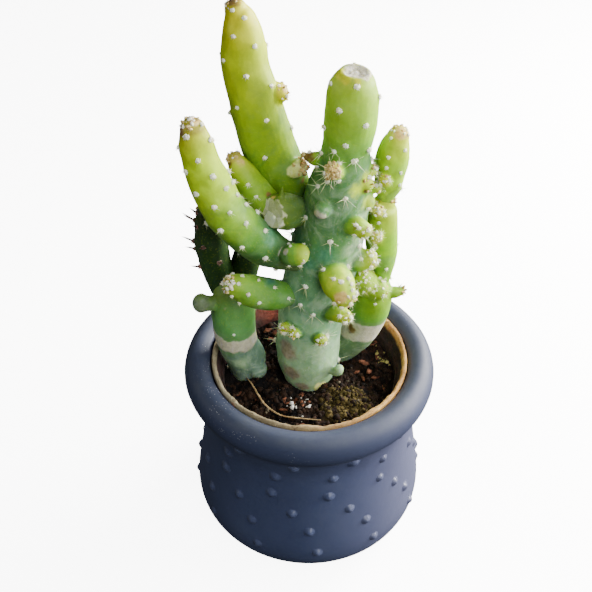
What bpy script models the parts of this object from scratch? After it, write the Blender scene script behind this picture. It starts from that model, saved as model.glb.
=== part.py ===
"""A jointed needle cactus in a clay nursery pot, which stands inside a glazed cover pot with raised dots.

Metres, +Z up. The origin is the centre of the cover pot's foot, and the camera side is -Y.
"""

import math

import bmesh
import bpy
from mathutils import Matrix, Vector

MM = 0.001
WELD = 0.001 * MM

# Cover pot, in millimetres: radius and height of the outer profile from the rim down to the foot
POT_OUTSIDE = (
    (39.4, 82), (44.6, 83.6), (47.6, 82.2), (49.4, 79.2), (50, 76.6), (48.8, 72.2), (46, 68.6), (44.3, 64.4),
    (43.1, 58), (43.3, 50), (45, 36), (47.9, 17), (46.6, 7.4), (43, 2.4), (38, 0),
)
POT_INSIDE = ((40, 6), (42.6, 14), (39.8, 44))
POT_STEPS = 40

# Raised dots on the cover pot: height of each row and the turn of its first dot from the front
DOT_ROWS = ((65, -8), (56.5, 12), (46.5, 10), (37.5, -9), (28, 0), (16, 4))
DOTS_IN_ROW = 12
DOT_FOOT_RADIUS = 1.9 * MM
DOT_TOP_RADIUS = 0.7 * MM
DOT_HEIGHT = 1.1 * MM
DOT_SIDES = 6

# Clay nursery pot: radius and height of its outside and inside, with the drain hole
CLAY_OUTSIDE = ((37.4, 82.8), (38.7, 81.6), (38.2, 66), (35.8, 64), (28, 6.3))
CLAY_INSIDE = ((5, 6.3), (5, 9.5), (25.2, 9.5), (35.8, 81.8))
CLAY_STEPS = 36

# Spines either stay over the brim of both pots, or well inside it and over the soil
BRIM = 85 * MM
INSIDE_BRIM = 33.5 * MM
OVER_SOIL = 76 * MM

# Soil: it fills the nursery pot to a few millimetres under the brim
SOIL_FLOOR = 9.8
SOIL_FOOT_RADIUS = 24.8
SOIL_EDGE = (33.7, 71.4)
SOIL_RINGS = (30, 24, 17, 9)
SOIL_TOP = 72
SOIL_STEPS = 32

# Swells of the soil: height in millimetres, waves per millimetre along X and Y, and phase
SOIL_WAVES = ((1.1, 0.23, 0.19, 0.6), (0.7, 0.41, -0.37, 2))

# Mossy mound: its centre, its reach and its height in millimetres
MOUND_CENTRE = (12, -24)
MOUND_REACH = 9
MOUND_HEIGHT = 3.2

# Areoles climb each stem on a spiral, closer together near the tip
GOLDEN_TURN = 137.5
CROWDING = 1.1
SURFACE_SAMPLES = 60
SKIN_DEPTH = 0.45 * MM

# Buds: few sides, and one turn of the spiral further on from bud to bud
BUD_PITCH = 2.8
BUD_TURN = 70
BUD_SIDES = 8
BUD_RINGS = 3

TUBERCLE_HEIGHT = 0.55 * MM
TUBERCLE_WIDTH = 2.6 * MM
FAR = 1.0

# Areoles: a woolly cushion sunk into the skin, and its spines
AREOLE_RADIUS = 1.0 * MM
AREOLE_HEIGHT = 0.8 * MM
AREOLE_SINK = 0.7 * MM
AREOLE_SIDES = 4
SPINE_RADIUS = 0.32 * MM
SPINE_SIDES = 3
SPINE_SINK = 1.2 * MM
SPINE_LEAN = 0.35
SPINE_HEADINGS = 9
LONG_SPINES_FROM = 0.35
SPINE_CLEARANCE = 0.8 * MM

# Rings of a round end in degrees, and the play left round a stem where it meets another piece
TIP_DOME = (38, 72)
GROWN = 0.4 * MM
PATH_SAMPLES = 5

# Materials: colour and roughness
MATERIALS = {
    "blue_glaze": ((0.20, 0.25, 0.36, 1), 0.35),
    "clay": ((0.66, 0.42, 0.25, 1), 0.85),
    "potting_soil": ((0.07, 0.05, 0.035, 1), 0.95),
    "bark_green": ((0.20, 0.33, 0.18, 1), 0.45),
    "young_green": ((0.40, 0.49, 0.10, 1), 0.45),
    "cut_green": ((0.27, 0.40, 0.10, 1), 0.45),
    "bud_green": ((0.30, 0.43, 0.13, 1), 0.45),
    "old_green": ((0.19, 0.32, 0.12, 1), 0.45),
    "shaded_green": ((0.10, 0.17, 0.05, 1), 0.45),
}

# Stems. A path point is x, y, z and radius in millimetres, from the joint or foot up to the tip.
# "areoles" is the spiral's pitch in millimetres, its turn at the tip in degrees and its hand.
# "spines" is how many each areole bears, and their length at the tip and at the foot.
# "cut_by" names the stems that it grows out of or lies against.
# "buds" carry areoles of their own, and "lobes" are smooth.
STEMS = {
    "main_stem": {
        "path": (
            (0, 1, 54, 7.5), (0, 1, 64, 9), (0, 1, 72, 10.5), (-0.5, 2, 82, 12.5), (0, 3, 96, 12.5),
            (1.5, 3, 111, 13), (4.5, 3, 127, 13), (7.5, 3, 145, 12.5), (9.5, 3, 159, 11.5),
            (11, 3, 170, 9.2), (11.5, 3, 177, 8.2), (12.5, 3, 183, 8.5), (13, 3, 190, 9), (13, 3, 198, 8.5),
            (13.3, 3, 203, 7.2), (13.5, 3, 206, 4.8),
        ),
        "sides": 14, "rings": 28, "tip": "flat",
        "areoles": (1.5, 40, 1), "spines": (2, 1.5, 6), "skin": "bark_green", "rooted": True,
        "buds": (
            ((9, -3, 171.6, 2.8), (7, -8.3, 175.4, 2.9)),
            ((6.5, -6, 132, 4.4), (8.5, -11, 131.8, 5.7), (10.2, -14.2, 130, 5.9), (11.4, -16.2, 128.2, 4.7)),
            ((6.5, -7, 111.5, 3), (10.3, -10.6, 114, 3.4), (12.6, -12.6, 114.4, 2.7)),
            ((2.4, -8, 100, 2.4), (4.4, -11.2, 101, 2.1)),
            ((-6, -6, 103, 2.2), (-9.6, -7.6, 104, 2)),
            ((-4.5, -8, 102, 2.2), (-6.2, -10.2, 103.4, 1.9)),
            ((12.5, -5.5, 151.5, 3.4), (15.6, -8.2, 152.8, 3.5), (17.8, -9.6, 152, 3)),
            ((14.5, 0, 163.5, 3.4), (18.5, -1.8, 165.4, 2.7)),
            ((16.5, 3, 160.5, 2.6), (22.4, 2, 162, 2.2)),
            ((14, 0, 130.5, 4), (18.6, -2.4, 133, 4), (20.8, -3.4, 134.2, 3.2)),
            ((16, 2, 167.5, 2.4), (20.6, 1, 169.4, 2)),
        ),
        "lobes": (
            ((4.6, -6, 158.8, 3.2), (3.5, -8.8, 159.8, 3)),
            ((9, -6, 79, 1.8), (11.2, -8, 80.5, 1.9), (11.6, -8.4, 82.6, 1.8)),
            ((4, 2, 173.3, 2.8), (0.2, 1.6, 174, 2.2), (-2.4, 2, 174.8, 0.9)),
            ((14, 1, 156.5, 3), (19.4, -1, 158, 2.9)),
        ),
    },
    "tall_stem": {
        "path": (
            (3, 8, 139, 4), (-3, 11.5, 145, 6), (-8.5, 12, 155, 8.5), (-12.5, 12, 165.5, 9.5),
            (-15.5, 12, 174.5, 9.5), (-18, 12.5, 185, 9), (-20, 13, 193.5, 8.5), (-22, 14, 202.5, 8),
            (-22.5, 14, 212, 7), (-23.2, 14, 218.5, 5.4), (-24.3, 14, 222, 3.6),
        ),
        "sides": 12, "rings": 16, "tip": "round",
        "areoles": (1.6, 180, 1), "spines": (1, 1.2, 2.5), "skin": "young_green", "cut_by": ("main_stem",),
        "buds": (((-15, 12.5, 191, 5), (-12.6, 12.2, 192.4, 4.2), (-11.4, 12, 193.2, 3.6)),),
        "lobes": (((-8, 7, 165, 3.4), (-4.6, 5.4, 167.6, 3.2)),),
    },
    "cut_stub": {
        "path": (
            (1, 4, 148, 4), (-4.5, 1.5, 151.5, 5.6), (-9.2, -1.5, 154, 6.5), (-12.6, -4, 155.8, 6.1),
            (-14.4, -5.4, 156.6, 4.9),
        ),
        "sides": 12, "rings": 6, "tip": "flat",
        "areoles": (2.2, 100, 1), "spines": (1, 1.5, 2), "skin": "cut_green",
        "cut_by": ("main_stem", "tall_stem"),
    },
    "left_stem": {
        "path": (
            (-3, -1, 131, 4), (-9, -3, 135.5, 5.4), (-15.5, -5, 140.5, 7), (-21.5, -7, 147.5, 7.5),
            (-27, -9.5, 156.5, 7.5), (-31.5, -10.5, 165.5, 7.2), (-34.5, -11, 174.5, 6.8),
            (-36.5, -11, 182.5, 6), (-37.5, -11, 189, 5.2), (-38, -11, 193, 4.2),
        ),
        "sides": 12, "rings": 13, "tip": "round",
        "areoles": (1.6, 15, -1), "spines": (1, 1.2, 3), "skin": "young_green",
        "cut_by": ("main_stem", "cut_stub"),
    },
    "left_stem_bud": {
        "path": ((-8.5, -9, 140.6, 3.2), (-6, -10.5, 141.8, 3.8), (-4.1, -11.2, 142.4, 3.5)),
        "sides": 10, "rings": 5, "tip": "round", "foot": "round",
        "areoles": (2.0, 60, 1), "spines": (1, 2, 3), "skin": "bud_green",
        "cut_by": ("main_stem", "left_stem"),
    },
    "short_stem": {
        "path": (
            (-7, 6, 146.5, 4), (-12.5, 3.6, 150.5, 5.4), (-17.6, 3, 156.6, 5.8), (-21.4, 3, 162.8, 5.2),
            (-24.6, 3.6, 168.6, 4), (-26.2, 4, 171.4, 2.9),
        ),
        "sides": 10, "rings": 9, "tip": "round",
        "areoles": (1.5, 60, -1), "spines": (1, 2, 3), "skin": "young_green",
        "cut_by": ("main_stem", "tall_stem", "cut_stub", "left_stem"),
    },
    "left_foot_stem": {
        "path": (
            (-24, 3, 58, 5), (-25, 3, 66, 6.5), (-25, 3, 72.5, 7.2), (-25.6, 3, 78.5, 7.9),
            (-28.2, 3, 85, 8), (-29.5, 3, 95, 8.4), (-29.5, 4, 104, 8.2), (-30.7, 5.5, 110.5, 6.6),
        ),
        "sides": 12, "rings": 12, "tip": "round",
        "areoles": (2.4, 20, 1), "spines": (1, 2, 3), "skin": "old_green", "rooted": True,
        "lobes": (
            ((-35.5, 2.4, 107.4, 2.6), (-39.6, 1.2, 108.4, 3.3), (-41.2, 1, 108.7, 3.9)),
            ((-25, 2, 76, 4.6), (-22, -0.6, 76.2, 4.6), (-20.8, -1.6, 75.6, 4)),
        ),
    },
    "left_rear_stem": {
        "path": (
            (-33, 8, 110, 5.4), (-35.5, 10, 119.5, 6), (-37, 11, 129, 6.1), (-37, 12, 137.5, 5.8),
            (-37.3, 12, 143, 4.8),
        ),
        "sides": 10, "rings": 8, "tip": "round",
        "areoles": (2.0, 70, -1), "spines": (1, 3, 4), "skin": "shaded_green", "cut_by": ("left_foot_stem",),
    },
    "left_inner_stem": {
        "path": (
            (-29.5, 8.5, 106, 4.8), (-25.8, 12, 114.5, 5.4), (-24.2, 14, 121.5, 5.3), (-23.4, 15, 126, 4.2),
        ),
        "sides": 10, "rings": 6, "tip": "round",
        "areoles": (2.0, 130, 1), "spines": (1, 2, 3), "skin": "shaded_green",
        "cut_by": ("left_foot_stem", "left_rear_stem"),
    },
    "oval_joint": {
        "path": (
            (-6, -3, 116.6, 3.8), (-12.5, -5, 118.2, 5.8), (-19.5, -7, 121.2, 6.2), (-25.5, -9, 125.4, 5),
            (-28, -10, 127.2, 3.7),
        ),
        "sides": 12, "rings": 7, "tip": "round",
        "areoles": (1.5, 200, -1), "spines": (1, 1.5, 2.5), "skin": "bud_green", "cut_by": ("main_stem",),
    },
    "right_foot_stem": {
        "path": (
            (9.5, 16, 58, 5), (11, 15.5, 67, 6.5), (15.5, 13.5, 76.5, 7.3), (20, 11.3, 85, 7.4),
            (23, 10, 94.5, 7.6), (24.5, 9, 103, 7.6), (24.4, 8, 111.5, 6.8), (23.8, 8, 115, 5),
        ),
        "sides": 12, "rings": 12, "tip": "round",
        "areoles": (2.4, 30, 1), "spines": (1, 2, 3), "skin": "old_green", "rooted": True,
        "cut_by": ("main_stem",),
        "buds": (
            ((30.5, 7, 109, 2), (33.2, 7, 109, 2.3), (35, 7, 109.4, 1.7)),
            ((22, 4.6, 113.5, 4.6), (20.4, 2, 119.6, 4.6), (19.8, 0.6, 121.4, 3.9)),
            ((25, 4, 112, 4), (26, 1.4, 115, 3.6)),
        ),
    },
    "right_middle_joint": {
        "path": (
            (26.5, 8, 113, 2.6), (27.8, 8, 118, 3.2), (27.5, 8, 123, 4.8), (26.5, 8, 131.5, 6),
            (26, 8, 141, 6), (26.1, 8, 148.5, 5.2), (26.6, 8, 151, 3.9),
        ),
        "sides": 10, "rings": 9, "tip": "round",
        "areoles": (1.8, 260, 1), "spines": (1, 2, 3), "skin": "young_green",
        "cut_by": ("right_foot_stem", "main_stem"),
        "buds": (
            ((24, 4, 138.4, 2.8), (23.6, 0.6, 141, 2.2)),
            ((24, 5, 148.6, 2.6), (23.4, 2.6, 151.4, 2.3)),
            ((23, 4.5, 125.6, 2.6), (21.6, 1.6, 127.6, 2.2)),
        ),
    },
    "right_top_joint": {
        "path": (
            (26.8, 8, 152, 2.8), (27.3, 7.4, 159.5, 4.6), (27.7, 7, 167.5, 5.8), (28.4, 7, 174.5, 5.4),
            (29.4, 7, 179.4, 3.8),
        ),
        "sides": 10, "rings": 8, "tip": "round",
        "areoles": (1.6, 90, 1), "spines": (1, 1.5, 2.5), "skin": "young_green",
        "cut_by": ("right_middle_joint", "main_stem"),
        "buds": (((26, 4, 163, 2.8), (25.2, 1.6, 165.4, 2.2)),),
    },
}


def clear_scene():
    for obj in list(bpy.data.objects):
        bpy.data.objects.remove(obj, do_unlink=True)


def make_collection(name):
    collection = bpy.data.collections.new(name)
    bpy.context.scene.collection.children.link(collection)
    return collection


def material_named(name):
    """The material of a slot, made the first time it is asked for."""
    if name in bpy.data.materials:
        return bpy.data.materials[name]
    colour, roughness = MATERIALS[name]
    material = bpy.data.materials.new(name)
    material.use_nodes = True
    shader = material.node_tree.nodes["Principled BSDF"]
    shader.inputs["Base Color"].default_value = colour
    shader.inputs["Roughness"].default_value = roughness
    return material


def add_object(name, mesh, collection):
    obj = bpy.data.objects.new(name, mesh)
    collection.objects.link(obj)
    return obj


def evaluated_mesh(obj):
    bpy.context.view_layer.update()
    graph = bpy.context.evaluated_depsgraph_get()
    mesh = bpy.data.meshes.new_from_object(obj.evaluated_get(graph), depsgraph=graph)
    return mesh


def apply_modifiers(obj):
    mesh = evaluated_mesh(obj)
    obj.modifiers.clear()
    obj.data = mesh


def boolean(obj, operation, operand=None, collection=None):
    modifier = obj.modifiers.new(operation.title(), "BOOLEAN")
    modifier.operation = operation
    modifier.solver = "MANIFOLD"
    if collection:
        modifier.operand_type = "COLLECTION"
        modifier.collection = collection
    else:
        modifier.object = operand
    apply_modifiers(obj)


def drop_collection(collection):
    for obj in list(collection.objects):
        bpy.data.objects.remove(obj, do_unlink=True)
    bpy.data.collections.remove(collection)


def keep_largest_piece(obj):
    """Drops the loose scraps that a cut leaves beside the main body."""
    work = bmesh.new()
    work.from_mesh(obj.data)
    left = set(work.verts)
    pieces = []
    while left:
        piece = {left.pop()}
        edge_of_piece = list(piece)
        while edge_of_piece:
            vertex = edge_of_piece.pop()
            for edge in vertex.link_edges:
                other = edge.other_vert(vertex)
                if other in left:
                    left.remove(other)
                    piece.add(other)
                    edge_of_piece.append(other)
        pieces.append(piece)
    pieces.sort(key=len)
    for piece in pieces[:-1]:
        bmesh.ops.delete(work, geom=list(piece), context="VERTS")
    work.to_mesh(obj.data)
    work.free()


def turned(name, profile, steps, collection, slot, closed=False):
    """A profile of (radius, height) in millimetres, turned round Z."""
    points = [(radius * MM, 0, height * MM) for radius, height in profile]
    edges = [(i, i + 1) for i in range(len(points) - 1)]
    if closed:
        edges.append((len(points) - 1, 0))
    mesh = bpy.data.meshes.new(name)
    mesh.from_pydata(points, edges, [])
    obj = add_object(name, mesh, collection)
    screw = obj.modifiers.new("Turn", "SCREW")
    screw.steps = steps
    screw.render_steps = steps
    screw.use_merge_vertices = True
    screw.merge_threshold = WELD
    apply_modifiers(obj)
    obj.data.materials.append(material_named(slot))
    obj.data.shade_smooth()
    return obj


def radius_at(profile, height):
    """The profile's radius at a height, by straight lines between its points."""
    below = sorted(profile, key=lambda point: point[1])
    for (r0, z0), (r1, z1) in zip(below, below[1:]):
        if z0 <= height <= z1:
            return r0 + (r1 - r0) * (height - z0) / (z1 - z0)
    return below[-1][0]


def align_z(direction):
    return direction.to_track_quat("Z", "Y").to_matrix().to_4x4()


def add_cone(name, matrix, collection, sides, radius_low, radius_high, depth):
    """A cone or frustum that stands on the matrix's origin, along its Z."""
    work = bmesh.new()
    bmesh.ops.create_cone(
        work, cap_ends=True, segments=sides, radius1=radius_low, radius2=radius_high, depth=depth,
        matrix=matrix @ Matrix.Translation((0, 0, depth / 2)),
    )
    mesh = bpy.data.meshes.new(name)
    work.to_mesh(mesh)
    work.free()
    return add_object(name, mesh, collection)


def make_cover_pot(collection):
    profile = ((0, 6),) + POT_INSIDE + POT_OUTSIDE + ((0, 0),)
    pot = turned("cover_pot", profile, POT_STEPS, collection, "blue_glaze")
    dots = make_collection("pot_dots")
    lower_wall = POT_OUTSIDE[4:]
    for height, first_turn in DOT_ROWS:
        for index in range(DOTS_IN_ROW):
            turn = math.radians(first_turn + 360 * index / DOTS_IN_ROW)
            out = Vector((math.sin(turn), -math.cos(turn), 0))
            slope = (radius_at(lower_wall, height - 1) - radius_at(lower_wall, height + 1)) / 2
            normal = (out + Vector((0, 0, slope))).normalized()
            wall = radius_at(lower_wall, height) * MM * math.cos(math.pi / POT_STEPS / 2)
            base = out * wall + Vector((0, 0, height * MM)) - normal * DOT_HEIGHT
            add_cone("dot", Matrix.Translation(base) @ align_z(normal), dots, DOT_SIDES,
                     DOT_FOOT_RADIUS, DOT_TOP_RADIUS, DOT_HEIGHT * 2)
    boolean(pot, "UNION", collection=dots)
    drop_collection(dots)
    return pot


def make_clay_pot(collection):
    profile = CLAY_OUTSIDE + CLAY_INSIDE
    return turned("clay_pot", profile, CLAY_STEPS, collection, "clay", closed=True)


def soil_height(x, y):
    """Height of the soil in millimetres over a point in millimetres: slow swells and a mossy mound."""
    height = SOIL_TOP
    for rise, along_x, along_y, phase in SOIL_WAVES:
        height += rise * math.sin(x * along_x + y * along_y + phase)
    across = math.hypot(x - MOUND_CENTRE[0], y - MOUND_CENTRE[1]) / MOUND_REACH
    return height + MOUND_HEIGHT * math.exp(-across * across)


def make_soil(collection, roots):
    rings = tuple((radius, SOIL_TOP) for radius in reversed(SOIL_RINGS))
    profile = ((0, SOIL_TOP),) + rings + (SOIL_EDGE, (SOIL_FOOT_RADIUS, SOIL_FLOOR), (0, SOIL_FLOOR))
    soil = turned("soil", profile, SOIL_STEPS, collection, "potting_soil")
    top_reach = (SOIL_EDGE[0] - 1) * MM
    for vertex in soil.data.vertices:
        if vertex.co.z > (SOIL_EDGE[1] + 0.2) * MM and vertex.co.xy.length < top_reach:
            vertex.co.z = soil_height(vertex.co.x / MM, vertex.co.y / MM) * MM
    for root in roots:
        boolean(soil, "DIFFERENCE", operand=root)
    soil.data.shade_smooth()
    return soil


def curve_through(points, count):
    """Points along a Catmull-Rom curve: each is a position and a radius, in metres."""
    knots = [(Vector(point[:3]) * MM, point[3] * MM) for point in points]
    knots = [knots[0]] + knots + [knots[-1]]
    spans = len(knots) - 3
    samples = []
    for step in range(count):
        place = step / (count - 1) * spans
        span = min(int(place), spans - 1)
        t = place - span
        weights = (
            -t / 2 + t * t - t ** 3 / 2,
            1 - 2.5 * t * t + 1.5 * t ** 3,
            t / 2 + 2 * t * t - 1.5 * t ** 3,
            -t * t / 2 + t ** 3 / 2,
        )
        near = knots[span:span + 4]
        position = sum((weight * knot[0] for weight, knot in zip(weights, near)), Vector())
        radius = sum(weight * knot[1] for weight, knot in zip(weights, near))
        samples.append((position, radius))
    return samples


def with_dome(samples, at_end=True):
    """Adds the rings of a round end."""
    rows = samples if at_end else list(reversed(samples))
    end, radius = rows[-1]
    out = (end - rows[-2][0]).normalized()
    for degrees in TIP_DOME:
        angle = math.radians(degrees)
        rows = rows + [(end + out * radius * math.sin(angle), radius * math.cos(angle))]
    return rows if at_end else list(reversed(rows))


def tube_object(name, samples, sides, collection):
    """A closed tube whose radius follows its samples, made from a curve with a bevel."""
    curve = bpy.data.curves.new(name, "CURVE")
    curve.dimensions = "3D"
    curve.bevel_depth = 1
    curve.bevel_resolution = (sides - 4) // 2
    curve.use_fill_caps = True
    spline = curve.splines.new("POLY")
    spline.points.add(len(samples) - 1)
    for point, (position, radius) in zip(spline.points, samples):
        point.co = (*position, 1)
        point.radius = radius
    guide = add_object(name + "_guide", curve, collection)
    mesh = evaluated_mesh(guide)
    bpy.data.objects.remove(guide, do_unlink=True)
    work = bmesh.new()
    work.from_mesh(mesh)
    bmesh.ops.remove_doubles(work, verts=work.verts, dist=WELD)
    bmesh.ops.recalc_face_normals(work, faces=work.faces)
    work.to_mesh(mesh)
    work.free()
    return add_object(name, mesh, collection)


class Surface:
    """Where the areoles of one stem or bud sit, measured down from its tip."""

    def __init__(self, path, round_tip):
        self.samples = list(reversed(curve_through(path, SURFACE_SAMPLES)))
        self.round_tip = round_tip
        self.tip_radius = self.samples[0][1]
        self.tip_arc = self.tip_radius * math.pi / 2 if round_tip else 0
        self.marks = [self.tip_arc]
        for (a, _), (b, _) in zip(self.samples, self.samples[1:]):
            self.marks.append(self.marks[-1] + (b - a).length)

    def frame(self, index):
        low = max(index - 1, 0)
        high = min(index + 1, len(self.samples) - 1)
        up = (self.samples[low][0] - self.samples[high][0]).normalized()
        front = Vector((0, -1, 0))
        front = (front - up * front.dot(up)).normalized()
        return up, front, front.cross(up) * -1

    def at(self, distance, turn):
        """Position and outward normal at a distance from the tip and a turn from the front."""
        if distance < self.tip_arc:
            lift = math.pi / 2 - distance / self.tip_radius
            up, front, right = self.frame(0)
            side = front * math.cos(turn) + right * math.sin(turn)
            normal = side * math.cos(lift) + up * math.sin(lift)
            return self.samples[0][0] + normal * self.tip_radius, normal
        index = 0
        while index < len(self.marks) - 2 and self.marks[index + 1] < distance:
            index += 1
        t = (distance - self.marks[index]) / (self.marks[index + 1] - self.marks[index])
        (a, ra), (b, rb) = self.samples[index], self.samples[index + 1]
        up, front, right = self.frame(index)
        side = front * math.cos(turn) + right * math.sin(turn)
        slope = (rb - ra) / (b - a).length
        normal = (side + up * slope).normalized()
        return a.lerp(b, t) + side * (ra + (rb - ra) * t), normal

    def length(self):
        return self.marks[-1]


def areoles_of(path, round_tip, spiral):
    """(position, normal, share of the way down) of each areole."""
    pitch, first_turn, hand = spiral
    surface = Surface(path, round_tip)
    found = []
    index = 1
    while pitch * MM * index ** CROWDING < surface.length():
        down = pitch * MM * index ** CROWDING
        turn = math.radians(first_turn + hand * GOLDEN_TURN * index)
        position, normal = surface.at(down, turn)
        found.append((position, normal, down / surface.length()))
        index += 1
    return found


def swell(obj, areoles, grow):
    """Raises a low tubercle under each areole, and grows the whole surface by an even amount."""
    mesh = obj.data
    normals = [vertex.normal.copy() for vertex in mesh.vertices]
    for vertex, normal in zip(mesh.vertices, normals):
        nearest = min(((vertex.co - position).length for position, _, _ in areoles), default=FAR)
        bump = TUBERCLE_HEIGHT * math.exp(-(nearest / TUBERCLE_WIDTH) ** 2)
        vertex.co += normal * (bump + grow)


def stem_areoles(stem):
    return areoles_of(stem["path"], stem["tip"] == "round", stem["areoles"])


def bud_areoles(stem):
    _, first_turn, hand = stem["areoles"]
    found = []
    for index, bud in enumerate(stem.get("buds", ())):
        found += areoles_of(bud, True, (BUD_PITCH, first_turn + BUD_TURN * index, -hand))
    return found


def stem_body(name, stem, collection, grow=0.0):
    """The stem and its buds as one closed mesh, with no areoles or spines yet."""
    samples = curve_through(stem["path"], stem["rings"])
    if stem["tip"] == "round":
        samples = with_dome(samples)
    if stem.get("foot") == "round":
        samples = with_dome(samples, at_end=False)
    body = tube_object(name, samples, stem["sides"], collection)
    areoles = stem_areoles(stem)
    swell(body, areoles, grow)
    growths = stem.get("buds", ()) + stem.get("lobes", ())
    if growths:
        buds = make_collection(name + "_buds")
        for bud in growths:
            shape = tube_object("bud", with_dome(curve_through(bud, BUD_RINGS)), BUD_SIDES, buds)
            swell(shape, [], grow)
        boolean(body, "UNION", collection=buds)
        drop_collection(buds)
    return body


def distance_to_stem(point, stem):
    """How far a point lies outside the smooth skin of a stem and its buds."""
    nearest = FAR
    for path in (stem["path"],) + stem.get("buds", ()) + stem.get("lobes", ()):
        for position, radius in curve_through(path, PATH_SAMPLES * len(path)):
            nearest = min(nearest, (point - position).length - radius)
    return nearest


def is_clear(name, root, end):
    """Whether a spine from root to end stays clear of every other stem, the soil and both pots."""
    for other, stem in STEMS.items():
        if other == name:
            continue
        for point in (root, root.lerp(end, 0.5), end):
            if distance_to_stem(point, stem) < SPINE_CLEARANCE:
                return False
    lowest = min(root.z, end.z)
    widest = max(root.xy.length, end.xy.length)
    return lowest > BRIM or (widest < INSIDE_BRIM and lowest > OVER_SOIL)


def is_on_skin(point, stem):
    """Whether an areole lies on the outer skin, and not inside one of the stem's own buds."""
    return distance_to_stem(point, stem) > -SKIN_DEPTH


def add_cushion(place, lean, length, tufts):
    """A woolly cushion whose middle is drawn out into a spine, as one closed shape."""
    work = bmesh.new()
    depth = AREOLE_SINK + AREOLE_HEIGHT
    bmesh.ops.create_cone(
        work, cap_ends=True, segments=AREOLE_SIDES, radius1=AREOLE_RADIUS, radius2=SPINE_RADIUS, depth=depth,
        matrix=Matrix.Translation((0, 0, depth / 2)),
    )
    top = max(work.faces, key=lambda face: face.calc_center_median().z)
    point = bmesh.ops.poke(work, faces=[top])["verts"][0]
    point.co = Vector((0, 0, depth)) + (lean + Vector((0, 0, 1))) * length
    bmesh.ops.transform(work, matrix=place, verts=work.verts)
    mesh = bpy.data.meshes.new("cushion")
    work.to_mesh(mesh)
    work.free()
    add_object("cushion", mesh, tufts)


def add_second_spine(place, lean, name, length, tufts):
    """A slim spine that leans away from the first one, where it has room."""
    root = place.translation
    aside = (place.to_3x3() @ (Vector((0, 0, 1)) - lean * 2)).normalized()
    if is_clear(name, root, root + aside * length):
        matrix = Matrix.Translation(root - aside * SPINE_SINK) @ align_z(aside)
        add_cone("spine", matrix, tufts, SPINE_SIDES, SPINE_RADIUS, 0, length + SPINE_SINK)


def add_tufts(obj, name, stem):
    """Fuses a cushion with its spines to the skin at every areole that lies free."""
    tufts = make_collection(name + "_tufts")
    count, short, long = stem["spines"]
    for position, normal, share in stem_areoles(stem) + bud_areoles(stem):
        length = (short + (long - short) * share) * MM
        end = position + normal * (AREOLE_HEIGHT + TUBERCLE_HEIGHT + length)
        if not is_on_skin(position, stem) or not is_clear(name, position, end):
            continue
        place = Matrix.Translation(position + normal * (TUBERCLE_HEIGHT - AREOLE_SINK)) @ align_z(normal)
        heading = SPINE_HEADINGS * share
        lean = Vector((math.cos(heading), math.sin(heading), 0)) * SPINE_LEAN
        add_cushion(place, lean, length, tufts)
        if count > 1 and share > LONG_SPINES_FROM:
            add_second_spine(place, lean, name, length, tufts)
    if tufts.objects:
        boolean(obj, "UNION", collection=tufts)
    drop_collection(tufts)


def make_stem(name, stem, collection):
    stem_object = stem_body(name, stem, collection)
    helpers = make_collection(name + "_neighbours")
    for other in stem.get("cut_by", ()):
        cutter = stem_body(other + "_grown", STEMS[other], helpers, GROWN)
        boolean(stem_object, "DIFFERENCE", operand=cutter)
        keep_largest_piece(stem_object)
    drop_collection(helpers)
    add_tufts(stem_object, name, stem)
    keep_largest_piece(stem_object)
    stem_object.data.materials.clear()
    stem_object.data.materials.append(material_named(stem["skin"]))
    stem_object.data.shade_smooth()
    return stem_object


def main():
    clear_scene()
    cactus = make_collection("potted_needle_cactus")
    make_cover_pot(cactus)
    make_clay_pot(cactus)
    for name, stem in STEMS.items():
        make_stem(name, stem, cactus)
    roots = make_collection("roots")
    rooted = [
        stem_body(name + "_root", stem, roots, GROWN) for name, stem in STEMS.items() if stem.get("rooted")
    ]
    make_soil(cactus, rooted)
    drop_collection(roots)


main()
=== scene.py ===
"""Looks for a potted needle cactus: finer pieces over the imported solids, their materials, light and camera.

Metres, +Z up, in the frame of the solids. Tables of points are in millimetres, as in the solids' own source.
"""

import math
import random

import bmesh
import bpy
import numpy as np
from mathutils import Matrix, Vector, noise
from mathutils.bvhtree import BVHTree
from mathutils.kdtree import KDTree


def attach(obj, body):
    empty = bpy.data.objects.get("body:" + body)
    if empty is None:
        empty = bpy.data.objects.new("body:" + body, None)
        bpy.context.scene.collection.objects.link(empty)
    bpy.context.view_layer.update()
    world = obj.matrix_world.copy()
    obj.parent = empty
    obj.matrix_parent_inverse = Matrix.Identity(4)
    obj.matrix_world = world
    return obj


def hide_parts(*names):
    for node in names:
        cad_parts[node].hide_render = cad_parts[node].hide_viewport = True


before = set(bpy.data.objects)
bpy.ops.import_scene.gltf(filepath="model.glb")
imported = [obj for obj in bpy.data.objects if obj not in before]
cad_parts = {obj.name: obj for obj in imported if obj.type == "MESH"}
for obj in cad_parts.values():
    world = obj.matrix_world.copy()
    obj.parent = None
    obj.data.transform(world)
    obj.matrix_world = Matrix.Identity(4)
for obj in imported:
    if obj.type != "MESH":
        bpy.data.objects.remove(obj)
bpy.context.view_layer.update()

MM = 0.001

# Camera, fitted to the photograph, which is 592 pixels wide and high
CAMERA_PLACE = (-0.0053, -0.2841, 0.3631)
CAMERA_TILT = 48.66
CAMERA_LENS = 60.81
CAMERA_SENSOR = 36
PHOTO_SIZE = 592

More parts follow.
